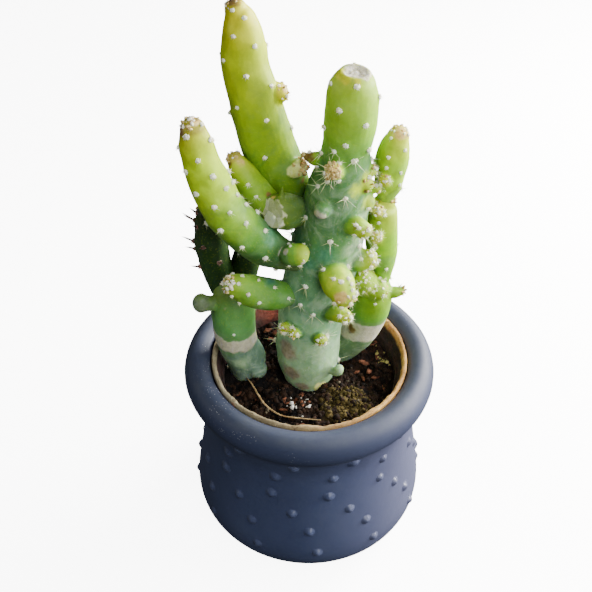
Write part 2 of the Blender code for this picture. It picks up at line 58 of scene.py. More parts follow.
# Lights round the object: turn from the front towards the right and height in degrees, power in watts, colour
LIGHTS = {
    "right_window": (90, 12, 10.5, (1.0, 0.98, 0.95)),
    "rear_window": (125, 20, 20, (1.0, 0.98, 0.94)),
    "front_light": (30, 48, 3.3, (0.98, 0.99, 1.0)),
    "low_light": (30, 15, 1.3, (0.98, 0.99, 1.0)),
    "left_fill": (-80, 22, 0.9, (0.98, 0.99, 1.0)),
}
LIGHT_AWAY = 0.6
LIGHT_SIZE = 0.36
LIGHT_TARGET = (0, 0, 0.12)
SKY_COLOUR = (0.94, 0.97, 1.0, 1)
SKY_STRENGTH = 0.085
FLOOR_SIZE = 16.0
FLOOR_GLOW = 8

# Cover pot, in millimetres: radius and height from the middle of its inside, over the rim, to its foot
POT_PROFILE = (
    (0, 6), (34, 6), (40, 7.5), (42.6, 14), (41.5, 30), (39.8, 44), (39.6, 66), (39.4, 79.6), (39.7, 81.4),
    (41.6, 82.7), (43.8, 83.6), (45.2, 83.5), (46.6, 82.9), (47.9, 81.8), (49, 80.2), (49.7, 78.2),
    (50, 76.2), (49.7, 74.2), (48.8, 72.2), (47.4, 70.3), (45.9, 68.5), (44.9, 66.4), (44.2, 63.8),
    (43.4, 60), (43.1, 56.5), (43.2, 52), (43.7, 45), (45, 36), (46.6, 26), (47.8, 17.5), (47.8, 11.5),
    (46.6, 7.2), (44.4, 3.6), (41, 1.2), (38, 0), (34, 0), (33, 0.7), (0, 0.7),
)
POT_OUTSIDE_FROM = 21
POT_SIDES = 160
POT_ROWS = 160
PROFILE_SAMPLES = 12
DOT_ROWS = ((65, -8), (56.5, 12), (46.5, 10), (37.5, -9), (28, 0), (16, 4))
DOTS_IN_ROW = 12
DOT_REACH = 2.7
DOT_RISE = 1.25
DOT_RINGS = 8
DOT_SIDES = 16

# Clay nursery pot: radius and height, with a thick rough brim
CLAY_PROFILE = (
    (5, 6.3), (28, 6.3), (31.7, 34), (35.8, 64), (38.2, 66), (38.5, 73), (39, 81), (38.9, 82.1),
    (38.4, 82.6), (37.8, 82.6), (37.4, 82.1), (37.1, 80.6), (36.5, 78), (35.2, 74), (34.1, 70), (25.2, 9.5),
    (5, 9.5),
)
CLAY_SIDES = 260
CLAY_ROWS = 110
BRIM_FROM = 74

# Soil
SOIL_FLOOR = 9.8
SOIL_FOOT_RADIUS = 24.8
SOIL_EDGE = (34.3, 71.4)
SOIL_TOP = 72
SOIL_WAVES = ((1.1, 0.23, 0.19, 0.6), (0.7, 0.41, -0.37, 2))
MOUND_CENTRE = (12, -24)
MOUND_REACH = 9
MOUND_HEIGHT = 3.2
SOIL_SIDES = 260
SOIL_ROWS = 90
MOSS_CENTRE = (14, -19)
MOSS_REACH = 10.5
GROUND_REACH = 33.0
FOOT_PLAY = 0.6
LUMP_GRAIN = 1.8
CHIP_SIDES = 10

# Loose grains: dark and light colour, fineness of their grain, seed, count, least and most half length,
# roughness, centre and reach of the place they lie in, and how far they stand out of the soil
GRAINS = {
    "soil_crumbs": ((9, 7, 5), (48, 31, 19), 260, 21, 1200, (0.3, 1.7), 0.45, (0, 0), GROUND_REACH, 0.1),
    "moss_tufts": ((28, 23, 9), (94, 80, 40), 900, 22, 480, (0.4, 1.5), 0.6, MOSS_CENTRE, MOSS_REACH, 0.1),
    "perlite": ((166, 162, 150), (226, 224, 216), 700, 23, 14, (0.4, 1.3), 0.3, (-4.5, -18), 5, 0.8),
    "grey_crumbs": ((120, 118, 108), (196, 192, 180), 700, 26, 22, (0.25, 0.8), 0.3, (-2, -22), 16, 0.8),
    "lime_crumbs": ((112, 104, 54), (190, 176, 112), 700, 24, 22, (0.4, 1.2), 0.3, (30, 10), 7, 0.8),
    "grit": ((34, 30, 22), (104, 94, 76), 700, 25, 60, (0.3, 1.1), 0.3, (0, 0), GROUND_REACH, 0.6),
}
GRAIN_FLATNESS = 0.8

# Bark splinters seen in the photograph: x, y, length and width in millimetres and the turn in degrees
BARK_CHIPS = (
    (-4, -13, 7, 2.4, 60), (-6.5, -16.5, 6.5, 2.2, 20), (-1.5, -15.5, 5.5, 1.8, -40), (-10, -15, 5, 2, 80),
    (24.5, 0.5, 7, 2.8, 75), (26.5, -3, 5, 2, 30), (22.6, 4.6, 5.5, 2.2, -20), (28, 4, 4.6, 2, 100),
    (-12, 21, 9, 4, 15), (-17, 25, 7, 3.4, 70), (-15, 17, 6, 2.6, -30), (-20, -14, 4, 1.5, 10),
    (28, 8, 4, 1.8, 95), (-10, -21, 4.5, 1.5, -15), (6, 26, 6, 2.5, 40), (20, 23, 5, 2, -50),
    (30, -8, 3.5, 1.4, 120), (-28, -12, 3.5, 1.6, 50), (-3, -19, 4.6, 1.7, 100), (22, -2.5, 4.2, 1.7, -70),
    (-9, 27, 6, 2.8, -60), (27, 16, 4, 1.6, 20), (-3.6, -29.6, 4.4, 2.6, 30), (19, 1, 4, 1.6, 10),
)

# Dry straw on the soil: x, y, z and thickness in millimetres
STRAW = (
    (-25.2, -4.2, 73.2, 0.2), (-22.8, -9.6, 75, 0.28), (-20.2, -16.4, 76.4, 0.34), (-16.9, -22.3, 76.6, 0.34),
    (-11.4, -26.7, 76, 0.3), (-3.8, -28.3, 75.9, 0.26), (4.2, -29.3, 76, 0.16),
)
SECOND_STRAND = (0.4, -0.5, 0.1)

# Stems and their skin
GOLDEN_TURN = 137.5
SPIRAL_SAMPLES = 60
CROWDING = 1.1
BUD_PITCH = 2.7
BUD_TURN = 70
PATH_STEP = 0.8
SIDES = 28
VOXEL = 0.46 * MM
SMOOTH_TURNS = 7
TUBERCLE_HEIGHT = 0.5 * MM
TUBERCLE_REACH = 2.7 * MM
DOME_DEGREES = (12, 25, 38, 51, 64, 76, 86)
SOFT_EDGE = 0.6 * MM
STEM_CROWN_LEAN = 60
BUD_CROWN_LEAN = 74
APART = 3.2 * MM
APART_ON_BUD = 1.6 * MM
SIGHT_RANGE = (300, 480)
SIGHT_SLACK = 1.2 * MM
OFF_SKIN = 0.9 * MM
CLEAR_OF_STEMS = 0.3 * MM
CLEAR_OF_SOIL = 2
BUD_AGE = (0.04, 0.3)
SCAR_LIMIT = 1.6
SCAR_DEPTH = 0.4
SCAR_LIP = 0.32

# Wool, spines and bristles
WOOL_LUMPS = 8
WOOL_HAIRS = 22
HAIR_RADIUS = 0.035 * MM
BUD_SPINE_LENGTH = 2.4 * MM
DARK_SPINE_RADIUS = 0.42 * MM
SPINE_RADIUS = 0.055 * MM
SPINE_WIDENING = 0.008
BRISTLE_RADIUS = 0.065 * MM
NEEDLE_WAIST = 0.72

# Skin colours from the youngest growth to the oldest, as seen on a screen. Some dark stops are painted shade:
# LIME's at 0.75 and 0.88, where the left and short stems shade the tall stem's foot, BENT's from 0.7 to 0.88,
# under the cut stub, and all of STUB, in the shade of the tall and main stems. SHADE darkens stems in shade.
LIME = (
    (0, 170, 154, 30), (0.06, 206, 200, 0), (0.25, 172, 188, 0), (0.4, 152, 174, 0), (0.62, 118, 152, 4),
    (0.75, 88, 122, 8), (0.88, 64, 96, 14), (1.0, 70, 110, 34),
)
# Its darkest stops, 0.7 to 0.88, are painted shade near the foot, under the cut stub.
BENT = (
    (0, 150, 144, 40), (0.06, 182, 190, 24), (0.25, 180, 212, 12), (0.4, 178, 214, 24), (0.5, 150, 194, 36),
    (0.6, 88, 140, 42), (0.7, 58, 104, 44), (0.78, 52, 92, 42), (0.88, 70, 92, 44), (1.0, 110, 150, 70),
)
SHORT = (
    (0, 170, 154, 60), (0.1, 172, 188, 30), (0.4, 134, 172, 18), (0.75, 96, 136, 16), (1.0, 68, 104, 22),
)
JOINT = (
    (0, 190, 174, 92), (0.08, 172, 186, 30), (0.4, 126, 176, 14), (0.75, 138, 190, 24), (1.0, 146, 194, 40),
)
UPPER = (
    (0, 200, 176, 96), (0.08, 188, 198, 34), (0.4, 156, 200, 22), (0.75, 172, 214, 40), (1.0, 174, 214, 60),
)
LEAF = ((0, 150, 178, 40), (0.3, 116, 166, 44), (0.7, 80, 136, 42), (1.0, 78, 124, 50))
# Painted shade: the stub is darkened throughout, for the shade of the tall and main stems.
STUB = ((0, 100, 116, 42), (0.4, 78, 104, 32), (1.0, 58, 80, 26))
TRUNK = (
    (0, 168, 180, 40), (0.12, 148, 184, 34), (0.22, 132, 178, 36), (0.3, 106, 156, 46), (0.4, 76, 122, 62),
    (0.55, 88, 134, 80), (0.63, 118, 168, 122), (0.75, 138, 174, 132), (0.88, 134, 164, 118),
    (1.0, 140, 154, 100),
)
FOOT = (
    (0, 112, 142, 60), (0.12, 98, 154, 72), (0.25, 90, 150, 78), (0.33, 92, 140, 82), (0.4, 94, 120, 104),
    (1.0, 90, 114, 104),
)
SIDE_FOOT = (
    (0, 146, 176, 26), (0.2, 124, 166, 26), (0.34, 102, 156, 48), (0.44, 104, 130, 92), (1.0, 98, 122, 92),
)
SHADE = ((0, 46, 60, 28), (0.3, 36, 58, 28), (1.0, 38, 66, 32))

# Colours of patches on the skin: ramps over a fine noise, or over facets for a cut face. The teal ones are
# painted shade.
PATCH_COLOURS = {
    "young": ((0.25, 146, 174, 20), (0.5, 176, 198, 28), (0.75, 202, 212, 60)),
    "frost": ((0.25, 108, 140, 102), (0.5, 132, 160, 120), (0.75, 164, 184, 146)),
    # Painted shade: bluish dark green on shaded sides, under stems above and in crotches
    "teal_shade": ((0.25, 54, 108, 76), (0.5, 72, 130, 92), (0.75, 104, 156, 120)),
    "pale": ((0.25, 168, 176, 84), (0.5, 202, 206, 124), (0.75, 226, 226, 172)),
    "lime": ((0.25, 160, 164, 14), (0.5, 184, 186, 26), (0.75, 204, 200, 80)),
    "ash": ((0.25, 80, 94, 70), (0.5, 100, 114, 84), (0.75, 126, 138, 106)),
    "stone": ((0.25, 102, 96, 74), (0.5, 132, 126, 102), (0.75, 160, 152, 128)),
    "cream": ((0.25, 154, 150, 122), (0.5, 186, 182, 156), (0.75, 206, 202, 180)),
    "cork": ((0.25, 142, 136, 108), (0.5, 184, 180, 156), (0.75, 216, 212, 196)),
    "tan": ((0.25, 160, 130, 62), (0.5, 196, 168, 94), (0.75, 222, 204, 140)),
    "brown": ((0.25, 66, 50, 22), (0.5, 108, 84, 40), (0.75, 146, 120, 70)),
    "cut": ((0.1, 156, 160, 118), (0.45, 194, 196, 156), (0.8, 226, 226, 204)),
}

# Width of a patch's soft edge, as a share of its reach
EDGES = {
    "cork": 0.35, "cut": 0.12, "cream": 0.3, "pale": 0.25, "frost": 0.9, "teal_shade": 1.1, "ash": 0.9,
    "stone": 0.6, "young": 0.9,
}
OTHER_EDGE = 0.5

# Stems, in millimetres. path is x, y, z and radius from the foot or joint to the tip, and tips are domed
# unless flat_tip.
# spiral is the areoles' pitch, their first turn from the front in degrees, and their hand.
# spines is how many an areole bears, their length near the tip and at the foot, and where they grow long.
# wool is the size of an areole's pad, and bloom the strength of the pale haze on old skin.
# crown is a tip's crown, told below. patches are places of another colour: x, y, z and reach.
# band is the lowest and highest point of a corky belt. scar is a healed end: x, y, z and reach. cut is a cut
# end, with its facing too.
# Buds start with their kind, and then their path.
STEMS = {
    "main_stem": {
        "path": (
            (0, 1, 54, 7.5), (0, 1, 64, 9), (0, 1, 72, 10.5), (-0.5, 2, 82, 12.5), (0, 3, 96, 12.5),
            (1.5, 3, 111, 13), (4.5, 3, 127, 13), (7.5, 3, 145, 12.5), (9.5, 3, 159, 11.5),
            (11, 3, 170, 9.2), (11.5, 3, 177, 8.2), (12.5, 3, 183, 8.5), (13, 3, 190, 9), (13, 3, 198, 8.5),
            (13.3, 3, 203, 7.2), (13.5, 3, 206, 4.8),
        ),
        "flat_tip": True, "spiral": (1.5, 40, 1), "spines": (4, 1.0, 5.2, (0.24, 0.33)), "wool": 1.2,
        "skin": TRUNK, "bloom": 0.5, "slot": "bark_green", "scar": (14, 2.6, 207, 4.4),
        "patches": {
            "lime": ((9, 1.6, 206.2, 2.6), (10.8, -1, 205.8, 2.2), (14, -2.2, 205.4, 1.4)),
            "cork": ((14.4, 2.8, 207, 4.9), (2.4, -11.4, 158.2, 3), (13.5, -6, 84, 2)),
            "young": (
                (9.6, -14.5, 131.4, 7.6), (6.6, -8, 175, 4.2), (15.9, -6.1, 166, 3.4), (18.5, -2.7, 168, 3.6),
                (19.4, -2, 158, 4), (16.6, -9, 152.4, 3.6), (19.6, -3.4, 134, 4.6), (11.6, -12, 114.4, 4),
            ),
            "stone": ((-8.6, -6.2, 90.7, 5), (-6.9, -7.6, 80, 4.4), (-2.9, -9.2, 73, 2.8)),
            "pale": ((4.3, -8.7, 72.6, 2.6),),
            "tan": ((6.6, -10.8, 176.6, 3), (10.6, -20, 130, 2.6)),
            "brown": (
                (15, -10.6, 153.6, 1.3), (17.5, -4, 177.6, 0.9), (-1.6, 2, 174.4, 3.4),
                (18.6, -3.6, 164.6, 1.2),
            ),
            "frost": (
                (18.6, -4, 154.6, 3.8), (13.8, -7.5, 141.5, 4.2), (17.4, -4.3, 143.5, 5), (15.4, -5, 136, 5),
                (3.9, -8.9, 93.3, 4.4), (5.7, -8.5, 101, 3.4),
            ),
            # Painted shade on the stem's shaded front-left, in the crotch of the left stem and its bud
            "teal_shade": ((-1, -7.6, 136.1, 6), (4.9, -9.5, 140.8, 6), (-4.6, -2.1, 141.7, 5)),
        },
        "buds": (
            ("bristly", (9, -3, 171.6, 2.8), (7, -8.3, 175.4, 2.9)),
            ("smooth", (4.6, -6, 158.8, 3.2), (3.5, -8.8, 159.8, 3)),
            ("big", (6.5, -6, 132, 4.4), (8.5, -11, 131.8, 5.7), (10.2, -14.2, 130, 5.9),
             (11.4, -16.2, 128.2, 4.7)),
            ("woolly", (6.5, -7, 111.5, 3), (10.3, -10.6, 114, 3.4), (12.6, -12.6, 114.4, 2.7)),
            ("woolly", (2.4, -8, 100, 2.4), (4.4, -11.2, 101, 2.1)),
            ("smooth", (9, -6, 79, 1.8), (11.2, -8, 80.5, 1.9), (11.6, -8.4, 82.6, 1.8)),
            ("woolly", (-6, -6, 103, 2.2), (-9.6, -7.6, 104, 2.0)),
            ("woolly", (-4.5, -8, 102, 2.2), (-6.2, -10.2, 103.4, 1.9)),
            ("scaly", (4, 2, 173.3, 2.8), (0.2, 1.6, 174, 2.2), (-2.4, 2, 174.8, 0.9)),
            ("woolly", (12.5, -5.5, 151.5, 3.4), (15.6, -8.2, 152.8, 3.5), (17.8, -9.6, 152, 3)),
            ("scaly", (14.5, 0, 163.5, 3.4), (18.5, -1.8, 165.4, 2.7)),
            ("woolly", (16.5, 3, 160.5, 2.6), (22.4, 2, 162, 2.2)),
            ("smooth", (14, 1, 156.5, 3), (19.4, -1, 158, 2.9)),
            ("woolly", (14, 0, 130.5, 4), (18.6, -2.4, 133, 4), (20.8, -3.4, 134.2, 3.2)),
            ("woolly", (16, 2, 167.5, 2.4), (20.6, 1, 169.4, 2.0)),
        ),
    },
    "tall_stem": {
        "path": (
            (3, 8, 139, 4), (-3, 11.5, 145, 6), (-8.5, 12, 155, 8.5), (-12.5, 12, 165.5, 9.5),
            (-15.5, 12, 174.5, 9.5), (-18, 12.5, 185, 9), (-20, 13, 193.5, 8.5), (-22, 14, 202.5, 8),
            (-22.5, 14, 212, 7), (-23.2, 14, 218.5, 5.4), (-24.3, 14, 222, 3.6),
        ),
        "spiral": (1.6, 180, 1), "spines": (2, 0.8, 1.4, (0.5, 1.0)), "wool": 1.0,
        "crown": (5, 6, 0, 5, 0.55, 0.9), "skin": LIME, "bloom": 0.05, "slot": "young_green",
        "patches": {
            "brown": ((-25, 13, 225.4, 2.4), (-1.5, 6, 161.5, 2.2), (-3.4, 2.8, 163.4, 1.6)),
            "pale": ((-4.6, 3.6, 167.6, 3.4), (-2.6, 2.6, 168.6, 2)),
            "tan": ((-8.6, 11, 195.8, 1.9),),
        },
        "buds": (
            ("lobe", (-15, 12.5, 191, 5), (-12.6, 12.2, 192.4, 4.2), (-11.4, 12, 193.2, 3.6)),
            ("ragged", (-8, 7, 165, 3.4), (-4.6, 5.4, 167.6, 3.2)),
        ),
    },
    "cut_stub": {
        "path": (
            (1, 4, 148, 4), (-4.5, 1.5, 151.5, 5.6), (-9.2, -1.5, 154, 6.5), (-12.6, -4, 155.8, 6.1),
            (-14.4, -5.4, 156.6, 4.9),
        ),
        "flat_tip": True, "spiral": (2.2, 100, 1), "spines": (2, 1, 1.5, (0.2, 0.8)), "wool": 0.8,
        "skin": STUB, "bloom": 0.1, "slot": "cut_green", "cut": (-13.8, -5, 156.3, 5.6, (-0.7, -0.66, 0.28)),
        "patches": {
            "cut": ((-15, -7.2, 156.4, 5.4),),
            "tan": ((-13.4, -3.2, 161.8, 1.2),),
        },
        "buds": (("smooth", (-10.6, -2.6, 160, 1.6), (-10.4, -2.6, 162.6, 1.0), (-10, -2.4, 164.8, 0.5)),),
    },
    "left_stem": {
        "path": (
            (-3, -1, 131, 4), (-9, -3, 135.5, 5.4), (-15.5, -5, 140.5, 7), (-21.5, -7, 147.5, 7.5),
            (-27, -9.5, 156.5, 7.5), (-31.5, -10.5, 165.5, 7.2), (-34.5, -11, 174.5, 6.8),
            (-36.5, -11, 182.5, 6), (-37.5, -11, 189, 5.2), (-38, -11, 193, 4.2),
        ),
        "spiral": (1.6, 15, -1), "spines": (4, 2.0, 2.8, (0.2, 0.7)), "wool": 1.12,
        "crown": (10, 9, 0, 8, 0.78, 1.0), "skin": BENT, "bloom": 0.08, "slot": "young_green",
        "patches": {
            "tan": ((-37.2, -12, 197.4, 2.2),),
            "brown": ((-41.6, -13, 194, 2), (-11, -10, 133.5, 1.2)),
            # Painted shade on the upper side, under the cut stub
            "teal_shade": ((-15.2, -9, 149.4, 5.4),),
            "cork": ((-9.4, -9.6, 142, 2.2),),
        },
    },
    "left_stem_bud": {
        "path": ((-8.5, -9, 140.6, 3.2), (-6, -10.5, 141.8, 3.8), (-4.1, -11.2, 142.4, 3.5)),
        "round_foot": True, "spiral": (2.0, 60, 1), "spines": (4, 1.2, 2.4, (0.3, 0.8)),
        "wool": 0.7, "crown": (1, 1, 0, 4, 0.5, 1.5), "skin": LEAF, "bloom": 0.2, "slot": "bud_green",
        "patches": {
            "cork": ((-2.6, -14.6, 140.6, 1.1), (-9.6, -12, 144.4, 1.6)),
        },
    },
    "short_stem": {
        "path": (
            (-7, 6, 146.5, 4), (-12.5, 3.6, 150.5, 5.4), (-17.6, 3, 156.6, 5.8), (-21.4, 3, 162.8, 5.2),
            (-24.6, 3.6, 168.6, 4), (-26.2, 4, 171.4, 2.9),
        ),
        "spiral": (1.5, 60, -1), "spines": (8, 2.4, 2.4, (0.3, 0.8)), "wool": 0.8,
        "crown": (2, 7, 1, 5, 0.7, 1.0), "skin": SHORT, "bloom": 0.08, "slot": "young_green",
        "patches": {
            "brown": ((-28.6, 1.2, 171.6, 1.5), (-14.6, -0.6, 160.4, 1.3)),
            "tan": ((-23.4, 0.6, 173.4, 2.6),),
        },
    },
    "left_foot_stem": {
        "path": (
            (-24, 3, 58, 5), (-25, 3, 66, 6.5), (-25, 3, 72.5, 7.2), (-25.6, 3, 78.5, 7.9),
            (-28.2, 3, 85, 8), (-29.5, 3, 95, 8.4), (-29.5, 4, 104, 8.2), (-30.7, 5.5, 110.5, 6.6),
        ),
        "spiral": (2.4, 20, 1), "spines": (2, 1, 1.5, (0.2, 0.8)), "wool": 0.75,
        "skin": FOOT, "bloom": 0.5, "slot": "old_green", "band": (88, 95),
        "patches": {
            "cork": ((-32.5, -3.6, 109.6, 1.5),),
            "frost": ((-27, -4.5, 82, 4),),
            "ash": ((-41.4, -1.6, 109, 6),),
        },
        "buds": (
            ("smooth", (-35.5, 2.4, 107.4, 2.6), (-39.6, 1.2, 108.4, 3.3), (-41.2, 1, 108.7, 3.9)),
            ("smooth", (-25, 2, 76, 4.6), (-22, -0.6, 76.2, 4.6), (-20.8, -1.6, 75.6, 4)),
        ),
    },
    "left_rear_stem": {
        "path": (
            (-33, 8, 110, 5.4), (-35.5, 10, 119.5, 6), (-37, 11, 129, 6.1), (-37, 12, 137.5, 5.8),
            (-37.3, 12, 143, 4.8),
        ),
        "spiral": (2.0, 70, -1), "spines": (1, 4.8, 4.8, (0.2, 0.8)), "wool": 1.2,
        "crown": (0, 5, 2, 3, 0.8, 2.5), "skin": SHADE, "bloom": 0.0, "slot": "shaded_green", "dark": True,
    },
    "left_inner_stem": {
        "path": (
            (-29.5, 8.5, 106, 4.8), (-25.8, 12, 114.5, 5.4), (-24.2, 14, 121.5, 5.3), (-23.4, 15, 126, 4.2),
        ),
        "spiral": (2.0, 130, 1), "spines": (2, 1.5, 2, (0.2, 0.8)), "wool": 0.7,
        "crown": (3, 3, 1, 3, 0.6, 1.5), "skin": SHADE, "bloom": 0.0, "slot": "shaded_green",
    },
    "oval_joint": {
        "path": (
            (-6, -3, 116.6, 3.8), (-12.5, -5, 118.2, 5.8), (-19.5, -7, 121.2, 6.2), (-25.5, -9, 125.4, 5),
            (-28, -10, 127.2, 3.7),
        ),
        "spiral": (1.5, 200, -1), "spines": (4, 1.3, 2.6, (0.4, 0.9)), "wool": 0.85,
        "crown": (16, 7, 1, 14, 0.8, 1.3), "skin": LEAF, "bloom": 0.12, "slot": "bud_green",
        # Painted shade on the top of the joint, under the left stem
        "patches": {"teal_shade": ((-14.6, -6.4, 126, 3.8),)},
    },
    "right_foot_stem": {
        "path": (
            (9.5, 16, 58, 5), (11, 15.5, 67, 6.5), (15.5, 13.5, 76.5, 7.3), (20, 11.3, 85, 7.4),
            (23, 10, 94.5, 7.6), (24.5, 9, 103, 7.6), (24.4, 8, 111.5, 6.8), (23.8, 8, 115, 5),
        ),
        "spiral": (2.4, 30, 1), "spines": (4, 1.2, 1.8, (0.2, 0.8)), "wool": 0.75,
        "crown": (4, 4, 2, 6, 0.7, 1.4), "skin": SIDE_FOOT, "bloom": 0.4, "slot": "old_green",
        "band": (84.5, 94.5),
        "patches": {"brown": ((15.4, 4.6, 91, 2.8),)},
        "buds": (
            ("scaly", (30.5, 7, 109, 2), (33.2, 7, 109, 2.3), (35, 7, 109.4, 1.7)),
            ("woolly", (22, 4.6, 113.5, 4.6), (20.4, 2, 119.6, 4.6), (19.8, 0.6, 121.4, 3.9)),
            ("woolly", (25, 4, 112, 4), (26, 1.4, 115, 3.6)),
        ),
    },
    "right_middle_joint": {
        "path": (
            (26.5, 8, 113, 2.6), (27.8, 8, 118, 3.2), (27.5, 8, 123, 4.8), (26.5, 8, 131.5, 6),
            (26, 8, 141, 6), (26.1, 8, 148.5, 5.2), (26.6, 8, 151, 3.9),
        ),
        "spiral": (1.8, 260, 1), "spines": (4, 1.4, 2.0, (0.3, 0.8)), "wool": 0.8,
        "crown": (8, 6, 1, 10, 0.8, 1.3), "skin": JOINT, "bloom": 0.08, "slot": "young_green",
        "patches": {"pale": ((27, 2, 154.6, 2.4),)},
        "buds": (
            ("woolly", (24, 4, 138.4, 2.8), (23.6, 0.6, 141, 2.2)),
            ("woolly", (24, 5, 148.6, 2.6), (23.4, 2.6, 151.4, 2.3)),
            ("woolly", (23, 4.5, 125.6, 2.6), (21.6, 1.6, 127.6, 2.2)),
        ),
    },
    "right_top_joint": {
        "path": (
            (26.8, 8, 152, 2.8), (27.3, 7.4, 159.5, 4.6), (27.7, 7, 167.5, 5.8), (28.4, 7, 174.5, 5.4),
            (29.4, 7, 179.4, 3.8),
        ),
        "spiral": (1.6, 90, 1), "spines": (4, 1.4, 2.2, (0.3, 0.8)), "wool": 0.85,
        "crown": (8, 6, 0, 8, 0.65, 1.0), "skin": UPPER, "bloom": 0.08, "slot": "young_green",
        "patches": {"tan": ((29.8, 4, 182.6, 2.6),)},
        "buds": (("woolly", (26, 4, 163, 2.8), (25.2, 1.6, 165.4, 2.2)),),
    },
}

# Crowns: white lumps, tan lumps, leaves and bristles, the lumps' half size and the bristles' length
BUD_CROWNS = {
    "woolly": (6, 3, 0, 14, 0.66, 2.2),
    "bristly": (0, 30, 0, 17, 0.85, 5.2),
    "scaly": (3, 6, 2, 6, 0.65, 1.2),
    "lobe": (2, 7, 1, 6, 0.7, 0.9),
    "ragged": (0, 12, 1, 2, 1.1, 0.9),
    "big": (4, 9, 0, 18, 0.7, 1.6),
}

BARE_BUDS = ("smooth", "ragged")

# Areoles that the photograph shows, each at the pixel of its wool
SEEN_AREOLES = {
    "main_stem": (
        (357, 87), (332, 84), (378, 97), (340, 110), (365, 125), (326, 127), (346, 145), (335, 151),
        (323, 153), (368, 149), (354, 160), (370, 159), (319, 186), (328, 181), (345, 198), (307, 217),
        (330, 241), (368, 208), (358, 245), (306, 286), (301, 304), (313, 314), (297, 222), (290, 300),
        (324, 270), (334, 279), (341, 282), (335, 303), (348, 279), (351, 284), (352, 290), (353, 297),
        (350, 303), (356, 225), (368, 230), (359, 228), (371, 256), (374, 247), (371, 266), (366, 273),
        (345, 322), (350, 317), (340, 316), (325, 335), (292, 328),
    ),
    "tall_stem": (
        (233, 10), (244, 18), (234, 36), (254, 46), (225, 60), (246, 76), (270, 86), (238, 107), (266, 120),
        (290, 128), (265, 157),
    ),
    "cut_stub": ((275, 217), (259, 206), (291, 228)),
    "left_stem": (
        (187, 136), (209, 140), (198, 160), (187, 171), (212, 176), (225, 188), (197, 193), (214, 206),
        (229, 212), (245, 223), (221, 229), (264, 231), (242, 246), (265, 257), (227, 172), (231, 183),
        (236, 195), (245, 205), (256, 213), (180, 147),
    ),
    "left_stem_bud": ((303, 245), (291, 247), (289, 266), (300, 265)),
    "short_stem": ((255, 166), (265, 178), (248, 184), (256, 196)),
    "left_foot_stem": ((234, 334),),
    "left_rear_stem": (
        (198, 213), (198, 227), (204, 247), (219, 262), (215, 228), (194, 220), (194, 241), (201, 266),
    ),
    "oval_joint": (
        (242, 277), (238, 284), (258, 281), (248, 294), (232, 295), (259, 302), (274, 288), (288, 298),
        (240, 302),
    ),
    "right_foot_stem": (
        (375, 303), (369, 288), (382, 282), (379, 278), (364, 291), (360, 274), (374, 291), (366, 280),
    ),
    "right_middle_joint": ((379, 222), (383, 211), (386, 268), (378, 237), (372, 204), (379, 259)),
    "right_top_joint": (
        (392, 138), (404, 150), (389, 157), (387, 167), (389, 181), (400, 172), (399, 184),
    ),
}


def linear(colour):
    """A screen colour, 0 to 255, as the linear values that a shader takes."""
    shares = [value / 255 for value in colour]
    return tuple(s / 12.92 if s <= 0.04045 else ((s + 0.055) / 1.055) ** 2.4 for s in shares) + (1,)


